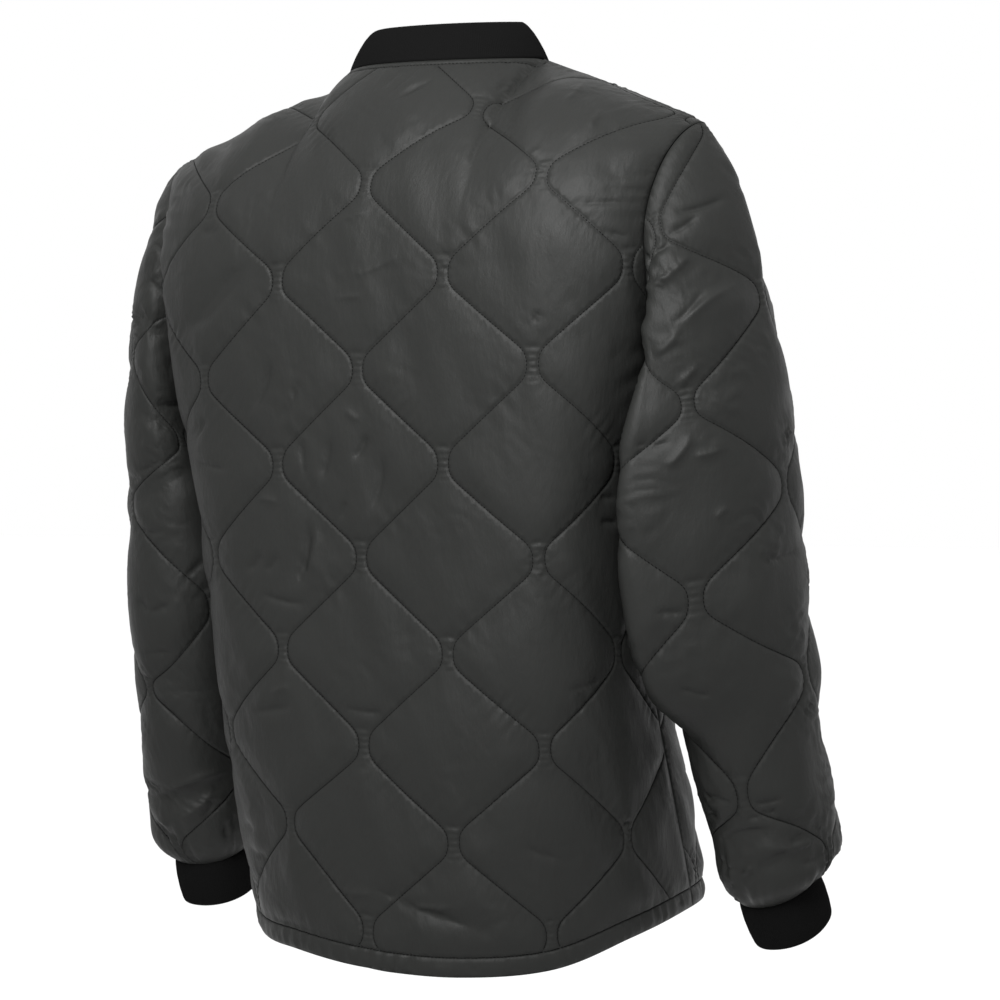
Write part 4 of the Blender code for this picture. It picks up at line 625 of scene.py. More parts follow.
def torso_form(front):
    """Form of half the back, measured from centre back, or of a front, measured from centre front."""
    neck_columns = NECK_HALF_WIDTH * np.sin(neck_steps(front))
    across = np.union1d(np.arange(0, FORM_ACROSS, TABLE_STEP), neck_columns)
    down = np.arange(FORM_TOP, FORM_BOTTOM, TABLE_STEP)
    points = np.zeros((len(down), len(across), 3))
    for i, level in enumerate(down):
        section = half_section(max(level, BLADE_DOWN))
        if front:
            section = section[::-1]
        points[i] = along_line(section, arc_lengths(section), across)
    start = np.searchsorted(down, BLADE_DOWN)
    for j, x in enumerate(across):
        line, lengths = upper_column(x, points[start, j], front)
        points[:start, j] = along_line(line, lengths, down[start] - down[:start])
    return Form(across, down, points)


def top_down(form, x, front):
    """Where the neck or shoulder seam lies on the flat cloth, at a distance x from the middle."""
    foot = form.at(np.array([[x, BLADE_DOWN]]))[0]
    _, lengths = upper_column(x, foot, front)
    return BLADE_DOWN - lengths[-2]


def on_both_halves(form, flat, sign):
    """Places on a form and on its mirror image. A flat x above 0 has the sign's side of the middle."""
    points = form.at(rows_of(np.abs(flat[:, 0]), flat[:, 1]))
    return points * rows_of(sign * np.sign(flat[:, 0]), 1, 1)


BACK_FORM = torso_form(front=False)
FRONT_FORM = torso_form(front=True)


def place_back(flat):
    """The back's cloth, seen from behind: flat x runs from the wearer's left to the right."""
    return on_both_halves(BACK_FORM, flat, -1)


def place_front(flat):
    """Both fronts' cloth, seen from the front: flat x runs from the wearer's right to the left."""
    return on_both_halves(FRONT_FORM, flat, 1)


def armhole_flat(front):
    """The armhole edge on the flat cloth, from the shoulder point to the underarm, evenly spaced."""
    form = FRONT_FORM if front else BACK_FORM
    arc, total = side_seam_arc(UNDERARM_DOWN)
    shares = np.append(column(ARMHOLE_COLUMNS, ARMHOLE, "share"), 1.0)
    name = "front_across" if front else "back_across"
    across = np.append(column(ARMHOLE_COLUMNS, ARMHOLE, name), total - arc if front else arc)
    start = top_down(form, SHOULDER_X, front)
    share = np.linspace(0, 1, ARMHOLE_STEPS)
    line = rows_of(smooth(shares, across, share), start + (UNDERARM_DOWN - start) * share)
    return evenly(line, ARMHOLE_POINTS)


SHARE_STEPS = 97
HEAD_FOOT = SLEEVE[0][0]
SLEEVE_LENGTH = SLEEVE[-1][0]
SLEEVE_TABLE_TOP, SLEEVE_TABLE_MORE = -0.03, 0.02
ARMHOLE_FLAT = {"back": armhole_flat(False), "front": armhole_flat(True)}
ARMHOLE_SPACE = {
    "back": BACK_FORM.at(ARMHOLE_FLAT["back"]),
    "front": FRONT_FORM.at(ARMHOLE_FLAT["front"]),
}
for end in (0, -1):
    meeting = (ARMHOLE_SPACE["back"][end] + ARMHOLE_SPACE["front"][end]) / 2
    ARMHOLE_SPACE["back"][end] = ARMHOLE_SPACE["front"][end] = meeting


# ---------------------------------------------------------------- sleeve form


def sleeve_ring(along, side):
    """A section of the sleeve, drawn as a left one: its back half and its front half.

    Both run from the sleeve's outer line to its underarm.
    """
    centre = np.array([sleeve(name, along) for name in "xyz"])
    centre[1] += ELBOW_LEAN[side] * ease_down(ELBOW_LEVELS, along)
    step = AXIS_STEP
    axis = unit(np.array([sleeve(name, along + step) - sleeve(name, along - step) for name in "xyz"]))
    wrist = np.clip((along - WRIST_START) / (SLEEVE_LENGTH - WRIST_START), 0, 1) ** 2
    axis = unit(axis + np.array([*WRIST_TURN[side], 0.0]) * wrist)
    outward = unit(np.array([1.0, 0, 0]) - axis[0] * axis)
    backward = np.cross(outward, axis)
    turn = np.linspace(0, math.pi, SLEEVE_RING_STEPS)
    power = 2 / SLEEVE_SQUARENESS
    upper, lower = OUTER_LEVELS
    more = OUTER_MORE[side] * np.clip((lower - along) / (lower - upper), 0, 1)
    reach = np.where(turn < math.pi / 2, sleeve("outer", along) + more, sleeve("inner", along))
    wide = reach * np.sign(np.cos(turn)) * np.abs(np.cos(turn)) ** power
    deep = sleeve("depth", along) * np.abs(np.sin(turn)) ** power
    behind = BEHIND_OUT[side] * ease_down(BEHIND_LEVELS, along) * np.sin(turn) ** 0.5
    behind *= np.exp(-(((turn - BEHIND_TURN) / BEHIND_REACH) ** 2))
    wide_back = wide - BEHIND_INWARD * behind
    back = centre + wide_back[:, None] * outward + (deep + behind)[:, None] * backward
    front = centre + wide[:, None] * outward - deep[:, None] * backward
    return back, front


def whole_ring(along, side):
    """A section as points at even shares of the way round, front underarm to back underarm."""
    back, front = (evenly(half, SHARE_STEPS) for half in sleeve_ring(along, side))
    return np.vstack([front[:0:-1], back])


def cut_half_width(along):
    """Half the sleeve's cut width at a place down its cloth."""
    return reading(SLEEVE_CUT_COLUMNS, SLEEVE_CUT, "half_width", along)


def on_cut(share, along):
    """Places on the sleeve's flat cloth, at shares of the way round and lengths down it."""
    return rows_of(share * cut_half_width(along), along)


def cap_along(share):
    """Where the sleeve's head ends, as the share of the way round from its top line to the underarm."""
    return CAP_DEPTH * (1 - np.cos(math.pi * np.abs(share))) / 2


def head_flat(sign):
    """The sleeve head's edge on the flat cloth, from the top line to the underarm: back 1, front -1."""
    share = np.linspace(0, 1, ARMHOLE_POINTS) * sign
    return on_cut(share, cap_along(share))


def leaving(share):
    """The direction in which the cloth leaves the armhole."""
    outward, aside, down = (
        reading(LEAVE_COLUMNS, LEAVE, name, np.abs(share)) for name in LEAVE_COLUMNS[1:]
    )
    return rows_of(outward, aside * np.sign(share), -down)


class SleeveForm:
    """A sleeve over flat cloth. Flat x is the way round, plus to the back, and flat y is the way down."""

    def __init__(self, side):
        self.mirror = MIRROR[side]
        self.share = np.linspace(-1, 1, 2 * SHARE_STEPS - 1)
        self.along = np.arange(SLEEVE_TABLE_TOP, SLEEVE_LENGTH + SLEEVE_TABLE_MORE, TABLE_STEP)
        self.points = np.zeros((len(self.along), len(self.share), 3))
        for i in np.flatnonzero(self.along > HEAD_FOOT):
            self.points[i] = whole_ring(self.along[i], side)
        foot = whole_ring(HEAD_FOOT, side)
        onward = (whole_ring(HEAD_FOOT + ONWARD_STEP, side) - foot) / ONWARD_STEP
        leave, armhole = leaving(self.share), self.armhole()
        above = self.along[self.along <= HEAD_FOOT]
        for j, start in enumerate(cap_along(self.share)):
            line, lengths = head_line(armhole[j], leave[j], foot[j], onward[j])
            at = (above - start) / (HEAD_FOOT - start)
            self.points[: len(above), j] = along_line(line, lengths, at)

    def armhole(self):
        """The armhole's points at the form's own shares of the way round."""
        points = np.vstack([ARMHOLE_SPACE["front"][:0:-1], ARMHOLE_SPACE["back"]])
        at = np.linspace(-1, 1, len(points))
        return np.stack([smooth(at, points[:, k], self.share) for k in range(3)], axis=-1)

    def ring_at(self, share, along):
        """Places in space at shares of the way round and lengths down the cloth."""
        j = (share + 1) * (SHARE_STEPS - 1)
        i = (along - SLEEVE_TABLE_TOP) / TABLE_STEP
        return in_table(self.points, i, j) * [self.mirror, 1, 1]

    def at(self, flat):
        share = np.clip(flat[:, 0] / cut_half_width(flat[:, 1]), -1, 1)
        return self.ring_at(share, flat[:, 1])


def head_line(start, leave, end, onward):
    """A line of cloth down from the armhole to the sleeve's first section, with its share of the way down."""
    chord = np.linalg.norm(end - start)
    line = bend(np.linspace(0, 1, HEAD_STEPS)[:, None], start, end, chord * leave, chord * onward)
    lengths = arc_lengths(line)
    before = start - leave * chord * 0.5
    return np.vstack([before, line]), np.append(-0.5 * chord, lengths) / lengths[-1]


# ---------------------------------------------------------------- flat cloth


def resample(line, step):
    """The same line with points at even spacing, about step apart."""
    line = np.asarray(line, float)
    return evenly(line, max(2, int(round(arc_lengths(line)[-1] / step)) + 1))


def rounded(line, radius):
    """The line with its corners eased by a moving average."""
    dense = resample(line, DENSE_STEP)
    reach = max(1, int(radius / DENSE_STEP / 2))
    for _ in range(2):
        padded = np.pad(dense, ((reach, reach), (0, 0)), mode="edge")
        sums = np.cumsum(np.vstack([[0.0, 0.0], padded]), axis=0)
        dense = (sums[2 * reach + 1 :] - sums[: -2 * reach - 1]) / (2 * reach + 1)
    return dense


def across_line(line):
    """Directions at a right angle to a flat line, at each of its points."""
    along = unit(np.gradient(line, axis=0))
    return rows_of(-along[:, 1], along[:, 0])


def signed_area(points):
    after = np.roll(points, -1, axis=0)
    return np.sum(points[:, 0] * after[:, 1] - after[:, 0] * points[:, 1]) / 2


def closed(outline):
    """The outline with its first point again at its end."""
    return np.vstack([outline, outline[:1]])


def inset(outline, gap):
    """The outline with each point moved inwards by the gap."""
    after = np.roll(outline, -1, axis=0)
    edges = (after - outline) * np.sign(signed_area(outline))
    inward = unit(rows_of(-edges[:, 1], edges[:, 0]))
    mean = unit(inward + np.roll(inward, 1, axis=0))
    return outline + mean * gap


def is_inside(points, outline):
    inside = np.zeros(len(points), bool)
    for a, b in zip(outline, np.roll(outline, -1, axis=0)):
        crosses = (a[1] > points[:, 1]) != (b[1] > points[:, 1])
        rise = b[1] - a[1] if b[1] != a[1] else 1e-12
        inside ^= crosses & (points[:, 0] < a[0] + (points[:, 1] - a[1]) * (b[0] - a[0]) / rise)
    return inside


class Nearest:
    """Finds the nearest of a set of lines, sampled closely, from places on the flat cloth."""

    def __init__(self, lines, step=0.0005):
        samples = [resample(line, step) for line in lines]
        self.places = np.vstack(samples)
        self.lengths = np.concatenate([arc_lengths(line) for line in samples])
        self.line = np.concatenate([np.full(len(line), k) for k, line in enumerate(samples)])
        self.tree = kdtree.KDTree(len(self.places))
        for k, (x, y) in enumerate(self.places):
            self.tree.insert((x, y, 0.0), k)
        self.tree.balance()

    def __call__(self, points):
        """The distance to the nearest line, and the index of the sample there."""
        found = [self.tree.find((x, y, 0.0)) for x, y in points]
        return np.array([item[2] for item in found]), np.array([item[1] for item in found], int)


def zigzag(gap_index, first_neck, low, high):
    """One zigzag stitch line between two columns of necks, with eased corners."""
    left = gap_index * QUILT_ACROSS + NECK_HALF_GAP
    right = (gap_index + 1) * QUILT_ACROSS - NECK_HALF_GAP
    phase = first_neck + (QUILT_DOWN / 2 if gap_index % 2 else 0)
    points = []
    for k in range(-ZIGZAG_TURNS, ZIGZAG_TURNS + 1):
        neck = phase + k * QUILT_DOWN / 2
        here = left if k % 2 == 0 else right
        points += [(here, neck - NECK_HALF_LENGTH), (here, neck + NECK_HALF_LENGTH)]
    line = rounded(points, CORNER_RADIUS)
    return line[(line[:, 1] > low) & (line[:, 1] < high)]


def kept_runs(line, keep):
    """The stretches of a line whose points are kept."""
    bounds = np.flatnonzero(np.diff(np.concatenate([[0], keep.astype(int), [0]])))
    runs = [line[a:b] for a, b in zip(bounds[::2], bounds[1::2])]
    return [resample(run, STITCH / 2) for run in runs if arc_lengths(run)[-1] > SHORTEST_RUN]


def lattice(outline, step):
    """Evenly spread points, every other row set half a step over."""
    low, high = outline.min(axis=0), outline.max(axis=0)
    rows = []
    for i, y in enumerate(np.arange(low[1], high[1], step * ROW_SHARE)):
        xs = np.arange(low[0], high[0] + step, step) + (step / 2 if i % 2 else 0)
        rows.append(rows_of(xs, y))
    points = np.vstack(rows)
    return points[is_inside(points, outline)]


def triangulate(outline, inner, lines):
    """Triangles over the flat cloth whose edges follow the outline and the stitches."""
    points = [tuple(p) for p in outline]
    edges = [(k, (k + 1) % len(outline)) for k in range(len(outline))]
    starts = []
    for line in lines:
        start = len(points)
        starts.append(start)
        points += [tuple(p) for p in line]
        edges += [(k, k + 1) for k in range(start, len(points) - 1)]
    points += [tuple(p) for p in inner]
    made = delaunay_2d_cdt([Vector(p) for p in points], edges, [], 1, 1e-8)
    flat = np.array([tuple(p) for p in made[0]])
    order = {}
    for new, old in enumerate(made[3]):
        for index in old:
            order[index] = new
    border = [order[k] for k in range(len(outline))]
    stitched = [[order[start + k] for k in range(len(line))] for start, line in zip(starts, lines)]
    return flat, [list(face) for face in made[2]], border, stitched


# ---------------------------------------------------------------- relief of the cloth


def waves(points, wavelength, seed, stretch=1.0, turn=0.0, count=9):
    """A soft random field of about unit size: sums of waves with seeded directions and phases.

    stretch above 1 draws its ridges out along the direction turn, in radians from flat x.
    """
    chance = np.random.default_rng(seed)
    along = points[:, 0] * math.cos(turn) + points[:, 1] * math.sin(turn)
    across = points[:, 1] * math.cos(turn) - points[:, 0] * math.sin(turn)
    field = np.zeros(len(points))
    for _ in range(count):
        angle, phase = chance.uniform(0, 2 * math.pi, 2)
        pace = 2 * math.pi / (wavelength * chance.uniform(0.7, 1.5))
        field += np.cos(pace * (along / stretch * math.cos(angle) + across * math.sin(angle)) + phase)
    return field / math.sqrt(count / 2)


def in_picture(points):
    """Where points in space show in the 1000 x 1000 picture, and the direction to the camera."""
    turn = math.radians(CAMERA_AZIMUTH)
    towards = np.array([math.sin(turn), -math.cos(turn), 0.0])
    right = np.array([math.cos(turn), math.sin(turn), 0.0])
    scale = LENS / SENSOR * PICTURE / (CAMERA_DISTANCE - points @ towards)
    across = PICTURE * (0.5 - SHIFT_X) + scale * (points @ right)
    down = PICTURE * (0.5 + SHIFT_Y) - scale * (points[:, 2] - CAMERA_TARGET[2])
    return rows_of(across, down), towards


def line_depth(creases, places):
    """The height that a piece's creases give each place, and how near the closest of them is."""
    depth, nearness = np.zeros(len(places)), np.zeros(len(places))
    for x0, y0, x1, y1, bow, width, rise in creases:
        start, end = np.array([x0, y0]), np.array([x1, y1])
        length = np.linalg.norm(end - start)
        along = (places - start) @ (end - start) / length**2
        normal = np.array([start[1] - end[1], end[0] - start[0]]) / length
        bowed = (places - start) @ normal - bow * 4 * along * (1 - along)
        fade = ease(np.minimum(along, 1 - along) / CREASE_ENDS)
        profile = fade * np.exp(1 - np.sqrt(1 + (CREASE_SHARPNESS * bowed / width) ** 2))
        depth += rise * profile
        nearness = np.maximum(nearness, profile)
    return depth, nearness


def crease_depth(piece, flat, points, through):
    """The height of the listed creases, and how near the closest of them is.

    The picture's creases hold where the cloth faces the camera, and the hidden ones where it doesn't.
    """
    places, towards = in_picture(settle(points, piece in TORSO_PIECES))
    facing = np.clip((through @ towards - FACING_FROM) / FACING_SPAN, 0, 1)
    seen, near_seen = line_depth(CREASES.get(piece, ()), places)
    hidden, near_hidden = line_depth(HIDDEN_CREASES.get(piece, ()), flat)
    depth = seen * facing + hidden * (1 - facing)
    return depth, np.maximum(near_seen * facing, near_hidden * (1 - facing))


def fold_rise(name, points):
    """How far the piece's folds raise or sink each point at the full height of a cell."""
    rise = np.zeros(len(points))
    for piece, from_x, from_down, to_x, to_down, half_width, height in FOLDS:
        if piece != name:
            continue
        start, way = np.array([from_x, from_down]), np.array([to_x - from_x, to_down - from_down])
        share = (points - start) @ way / (way @ way)
        away = np.linalg.norm(points - start - np.clip(share, 0, 1)[:, None] * way, axis=1)
        rise += height * np.exp(-((away / half_width) ** 2))
    return rise


def fullness(name, flat):
    """The share of a cell's height that each point has, by how tight the cloth lies there."""
    if name not in TORSO_PIECES:
        return np.ones(len(flat))
    return reading(FULLNESS_COLUMNS, FULLNESS, "share", flat[:, 1])


def from_necks(flat, first_neck):
    """Places as seen from the middle of the nearest neck in the quilting."""
    column_index = np.round(flat[:, 0] / QUILT_ACROSS)
    aside = flat[:, 0] - column_index * QUILT_ACROSS
    level = first_neck + np.where(column_index % 2 == 1, QUILT_DOWN / 2, 0)
    down = (flat[:, 1] - level + QUILT_DOWN / 2) % QUILT_DOWN - QUILT_DOWN / 2
    return aside, down


def neck_relief(flat, first_neck):
    """The small rungs of cloth pressed together in each neck, and the dark line over them."""
    aside, down = from_necks(flat, first_neck)
    middle = np.exp(-((aside / RUNG_REACH[0]) ** 2))
    rungs = RUNG_RISE * np.cos(2 * math.pi * down / RUNG_PITCH) * np.exp(-((down / RUNG_REACH[1]) ** 2))
    lid = LID_DEPTH * np.exp(-(((down + LID_UP) / LID_WIDTH) ** 2))
    return (rungs - lid) * middle


def relax(values, edges, held, rounds):
    """Evens out values over the mesh by neighbours, but not at the held points."""
    ends = np.concatenate([edges[:, 0], edges[:, 1]])
    others = np.concatenate([edges[:, 1], edges[:, 0]])
    share = np.bincount(ends, minlength=len(values)).clip(1)
    for _ in range(rounds):
        mean = np.bincount(ends, weights=values[others], minlength=len(values)) / share
        values = np.where(held, values, (values + mean) / 2)
    return values


def mesh_edges(faces):
    pairs = np.array([(face[k], face[(k + 1) % 3]) for face in faces for k in range(3)])
    return np.unique(np.sort(pairs, axis=1), axis=0)


def wrinkles(name, flat, seed):
    """Small sharp-edged wrinkles, in patches, that run across the pull of the cloth."""
    rise, turn = WRINKLES["torso" if name in TORSO_PIECES else name]
    shift = rows_of(waves(flat, WANDER_PITCH, seed + 31), waves(flat, WANDER_PITCH, seed + 32))
    bent = flat + WRINKLE_BEND * shift
    ridges = 1 - np.abs(waves(bent, WRINKLE_PITCH, seed + 33, stretch=WRINKLE_STRETCH, turn=turn))
    patches = np.clip(waves(flat, PATCH_PITCH, seed + 34) * 0.6 + 0.35, 0, 1.4)
    return rise * np.clip(ridges, -0.6, 1) * patches


def puckers(nearest, gap, seed):
    """Small ripples that run out from the nearest stitches, stronger in some places than in others."""
    pace = waves(nearest, DRIFT_PITCH, seed) * 0.9
    ripple = np.zeros(len(nearest))
    for share, pitch, slant, drift in PUCKER_WAVES:
        place = nearest[:, 1] + slant * nearest[:, 0]
        ripple += share * np.cos(2 * math.pi * place / pitch + drift * pace)
    strength = 0.35 + 0.65 * np.clip(waves(nearest, STRENGTH_PITCH, seed + 1), 0, 1.6)
    return PUCKER_RISE * ripple * strength * (gap / PUCKER_REACH) * np.exp(1 - gap / PUCKER_REACH)


def gathered(flat, gather, seed):
    """The folds of cloth gathered along an edge, which are highest a little way off it."""
    line, rise, pitch, reach = gather
    near = Nearest([line])
    away, at = near(flat)
    pace = waves(near.places[at], 4 * pitch, seed + 7)
    fold = np.cos(2 * math.pi * near.lengths[at] / pitch + 1.6 * pace)
    strength = 0.5 + 0.5 * np.clip(waves(near.places[at], 5 * pitch, seed + 17), -0.6, 1.5)
    return rise * fold * strength * (away / reach) * np.exp(1 - away / reach)


def relief(name, flat, faces, border, stitched, stitch_lines, edge_lines, gathers, seed):
    """The height of the cloth over its form: swollen cells, puckers at the stitches, soft waves."""
    to_stitch = Nearest(stitch_lines)
    to_edge = Nearest(edge_lines)
    stitch_gap, at = to_stitch(flat)
    edge_gap, edge_at = to_edge(flat)
    gap = np.minimum(stitch_gap, edge_gap)
    nearest = np.where((stitch_gap < edge_gap)[:, None], to_stitch.places[at], to_edge.places[edge_at])
    above = (nearest[:, 1] - flat[:, 1]) / np.maximum(gap, 1e-6)
    reach = PUFF_REACH * (1 - SAG * above * np.clip(gap / SAG_REACH, 0, 1))
    height = PUFF * (1 - (1 - np.clip(gap / reach, 0, 1)) ** PUFF_SHAPE)
    held = np.zeros(len(flat), bool)
    held[border] = True
    for line in stitched:
        held[line] = True
    height = relax(height, mesh_edges(faces), held, RELAX_ROUNDS) * fullness(name, flat)
    height += fold_rise(name, flat) * np.clip(height / PUFF, 0, 1)
    height += puckers(nearest, gap, seed) * np.clip(edge_gap / PUCKER_CLEAR, 0, 1)
    bulk = np.clip(gap / BULK_REACH, 0, 1)
    height += SOFT_RISE * bulk * waves(flat, SOFT_PITCH, seed + 2, stretch=SOFT_STRETCH, turn=SOFT_TURN)
    height += wrinkles(name, flat, seed) * bulk
    for k, gather in enumerate(gathers):
        height += gathered(flat, gather, seed + k)
    return height, gap


# ---------------------------------------------------------------- meshes


def new_piece(name, points, faces, materials, uv=None, weld=0.0, sharp=None, lined_from=None):
    """A visible piece from rows of points and faces, closed and facing out.

    Faces whose points all come at or after lined_from take the second material.
    """
    mesh = bpy.data.meshes.new(name)
    mesh.from_pydata(np.asarray(points).tolist(), [], faces)
    for material in materials:
        mesh.materials.append(material)
    if lined_from is not None:
        mesh.polygons.foreach_set("material_index", [int(min(face) >= lined_from) for face in faces])
    if uv is not None:
        layer = mesh.uv_layers.new(name="cloth")
        corner = np.zeros(len(mesh.loops), int)
        mesh.loops.foreach_get("vertex_index", corner)
        layer.data.foreach_set("uv", np.asarray(uv, float)[corner].ravel())
    work = bmesh.new()
    work.from_mesh(mesh)
    if weld:
        bmesh.ops.remove_doubles(work, verts=work.verts, dist=weld)
    bmesh.ops.recalc_face_normals(work, faces=work.faces)
    work.to_mesh(mesh)
    work.free()
    mesh.shade_smooth()
    if sharp:
        mesh.set_sharp_from_angle(angle=math.radians(sharp))
    made = bpy.data.objects.new(name, mesh)
    bpy.context.scene.collection.objects.link(made)
    return made


def tube_faces(first, rings, size):
    """Faces of a closed tube of points: both ends, and the sides from each ring to the next."""
    last = first + size * (rings - 1)
    faces = [list(range(first, first + size)), list(range(last, last + size))]
    for start in range(first, last, size):
        for k in range(size):
            a, b = start + k, start + (k + 1) % size
            faces.append([a, b, b + size, a + size])
    return faces


def thread_points(a, b, out):
    """One stitch as a slim spindle from a to b, pressed down at both ends."""
    along = b - a
    side = np.cross(along, out)
    side = side / max(np.linalg.norm(side), 1e-9)
    points = []
    for share, radius, lift in THREAD_PROFILE:
        centre = a + along * share + out * lift
        for k in range(THREAD_SIDES):
            turn = math.pi * (0.5 + 2 * k / THREAD_SIDES)
            points.append(centre + radius * (side * math.cos(turn) + out * math.sin(turn)))
    return points


def make_stitches(name, runs):
    """All the stitches of a piece: runs of needle holes, each with the direction out of the cloth."""
    points, faces = [], []
    for places, outs in runs:
        for k in range(0, len(places) - 2, 2):
            faces += tube_faces(len(points), len(THREAD_PROFILE), THREAD_SIDES)
            points += thread_points(places[k], places[k + 2], outs[k + 1])
    return new_piece(name, points, faces, [MATERIALS["thread"]])


def cloth_points(name, outline, seams, first_neck):
    """Points over the flat cloth, closer together at the creases and in the necks of the quilting."""

    def is_fine(points):
        nearness = crease_depth(name, points, seams.place(points), seams.through(points))[1]
        aside, down = from_necks(points, first_neck)
        in_neck = (np.abs(aside) < RUNG_REACH[0]) & (np.abs(down) < LID_UP + LID_WIDTH)
        return (nearness > NEAR_CREASE) | in_neck

    coarse, fine = lattice(outline, FINE_STEP), lattice(outline, CREASE_STEP)
    return np.vstack([coarse[~is_fine(coarse)], fine[is_fine(fine)]])


def beside_stitches(outline, lines):
    """Points along both sides of the stitches, which keep each groove narrow."""
    found = [line + sign * HOLE_RIM * across_line(line) for line in lines for sign in (1, -1)]
    points = np.vstack(found)
    return points[is_inside(points, inset(outline, HOLE_RIM / 2))]


def lined(outline, seams, seed):
    """The lining inside a cut piece: its flat places, its points in space, faces and border."""
    plain = lattice(outline, LINING_STEP)
    away = Nearest([closed(outline)])(plain)[0]
    flat, faces, border, _ = triangulate(outline, plain[away > LINING_STEP * 0.5], [])
    depth = WALL + LINING_RISE * np.clip(waves(flat, LINING_PITCH, seed + 5), -1, 1)
    depth[border] = WALL
    return flat, seams.place(flat) - seams.through(flat) * depth[:, None], faces, border


def quilted_piece(name, outline, is_open, seams, first_neck, stitch_lines, edge_lines, gathers, seed):
    """A cut piece of quilting as a fine closed wall, and its stitches."""
    every = Nearest(stitch_lines + [closed(outline)])
    crests = cloth_points(name, outline, seams, first_neck)
    rims = beside_stitches(outline, stitch_lines)
    rims = rims[every(rims)[0] > RIM_CLEAR]
    crests = crests[every(crests)[0] > CREST_CLEAR]
    flat, faces, border, stitched = triangulate(outline, np.vstack([crests, rims]), stitch_lines)
    height, gap = relief(name, flat, faces, border, stitched, stitch_lines, edge_lines, gathers, seed)
    through = seams.through(flat)
    base = seams.place(flat)
    height += crease_depth(name, flat, base, through)[0] * np.clip(gap / CREASE_CLEAR, 0, 1)
    height += neck_relief(flat, first_neck) * np.clip(gap / RUNG_CLEAR, 0, 1)
    height = np.maximum(height, -WALL * DEEPEST)
    height[border] = 0
    for line in stitched:
        height[line] = -HOLE_DEPTH * np.where(np.arange(len(line)) % 2, BETWEEN_HOLES, 1.0)
    outer = base + through * height[:, None]

    inner_flat, inner, inner_faces, inner_border = lined(outline, seams, seed)
    first = len(outer)
    faces = faces + [[k + first for k in face] for face in inner_faces]
    for k, open_here in enumerate(is_open):
        if open_here:
            after = (k + 1) % len(border)
            a, b = border[k], border[after]
            c, d = inner_border[after] + first, inner_border[k] + first
            faces += [[a, b, c], [a, c, d]]
    points = settle(np.vstack([outer, inner]), name in TORSO_PIECES)
    weld = 0.0 if all(is_open) else WELD
    uv = np.vstack([flat, inner_flat])
    materials = (MATERIALS["shell"], MATERIALS["lining"])
    cloth = new_piece(f"{name}_cloth", points, faces, materials, uv=uv, weld=weld, lined_from=len(flat))
    stitches = make_stitches(f"{name}_stitches", [(points[line], through[line]) for line in stitched])
    return cloth, stitches, np.ptp(outline, axis=0), abs(signed_area(outline))


# ---------------------------------------------------------------- seams


class Seams:
    """The direction through the cloth, which two pieces share along the seam between them."""

    def __init__(self, place, mirrored=False):
        self.place, self.mirrored, self.edges = place, mirrored, []

    def share(self, flat, directions, reach):
        self.edges.append((np.asarray(flat), np.asarray(directions), reach))

    def own(self, flat):
        return normals(self.place, flat) * (-1 if self.mirrored else 1)

    def through(self, flat):
        directions = self.own(flat)
        for edge, shared, reach in self.edges:
            apart = np.linalg.norm(flat[:, None] - edge[None], axis=2)
            nearest = apart.argmin(axis=1)
            near = np.clip(1 - (apart.min(axis=1) - ON_SEAM) / reach, 0, 1)[:, None]
            directions = unit(directions + (shared[nearest] - directions) * near**2)
        return directions


# ---------------------------------------------------------------- outlines


def neck_point(turn):
    """The neck seam in space, at an angle from centre back, plus to the wearer's left."""
    x = NECK_HALF_WIDTH * abs(math.sin(turn))
    point = top_line(np.array(x), abs(turn) > math.pi / 2)
    return point * [math.copysign(1, turn), 1, 1]


def neck_outward(turn):
    """Level direction away from the neck."""
    along = neck_point(turn + TURN_STEP) - neck_point(turn - TURN_STEP)
    level = unit(np.array([-along[1], along[0], 0.0]))
    return level if level @ (neck_point(turn) - [0.0, NECK_WIDEST, 0.0]) > 0 else -level


def collar_rise(turn):
    """The direction in which the collar stands, leaning in towards the neck."""
    return np.array([0, 0, math.cos(COLLAR_LEAN)]) - neck_outward(turn) * math.sin(COLLAR_LEAN)


def collar_through(turn):
    """The direction out of the collar's knit."""
    return np.array([0, 0, math.sin(COLLAR_LEAN)]) + neck_outward(turn) * math.cos(COLLAR_LEAN)


def neck_flat(front):
    """The neck edge on the flat cloth, from the middle to the shoulder seam."""
    form = FRONT_FORM if front else BACK_FORM
    across = NECK_HALF_WIDTH * np.sin(neck_steps(front))
    return np.array([(x, top_down(form, x, front)) for x in across])


def neck_directions(front):
    """Angles from centre back and directions through the cloth at the neck edge, on the wearer's left."""
    place, flip, turns = place_back, -1, neck_steps(front)
    if front:
        place, flip, turns = place_front, 1, math.pi - turns
    own = normals(place, neck_flat(front) * [flip, 1])
    own[-1] = shoulder_through(1)
    return turns, unit(own + np.array([collar_through(turn) for turn in turns]))


def side_edge(front):
    """The side seam on the flat cloth, from the underarm to the hem."""
    low = UNDERARM_DOWN
    high = low
    for _ in range(EDGE_ROUNDS):
        high = float(hem_down(side_seam_arc(high)[0]))
    edge = []
    for down in np.linspace(low, high, SIDE_STEPS + 1):
        arc, total = side_seam_arc(down)
        edge.append((total - arc if front else arc, down))
    return np.array(edge)


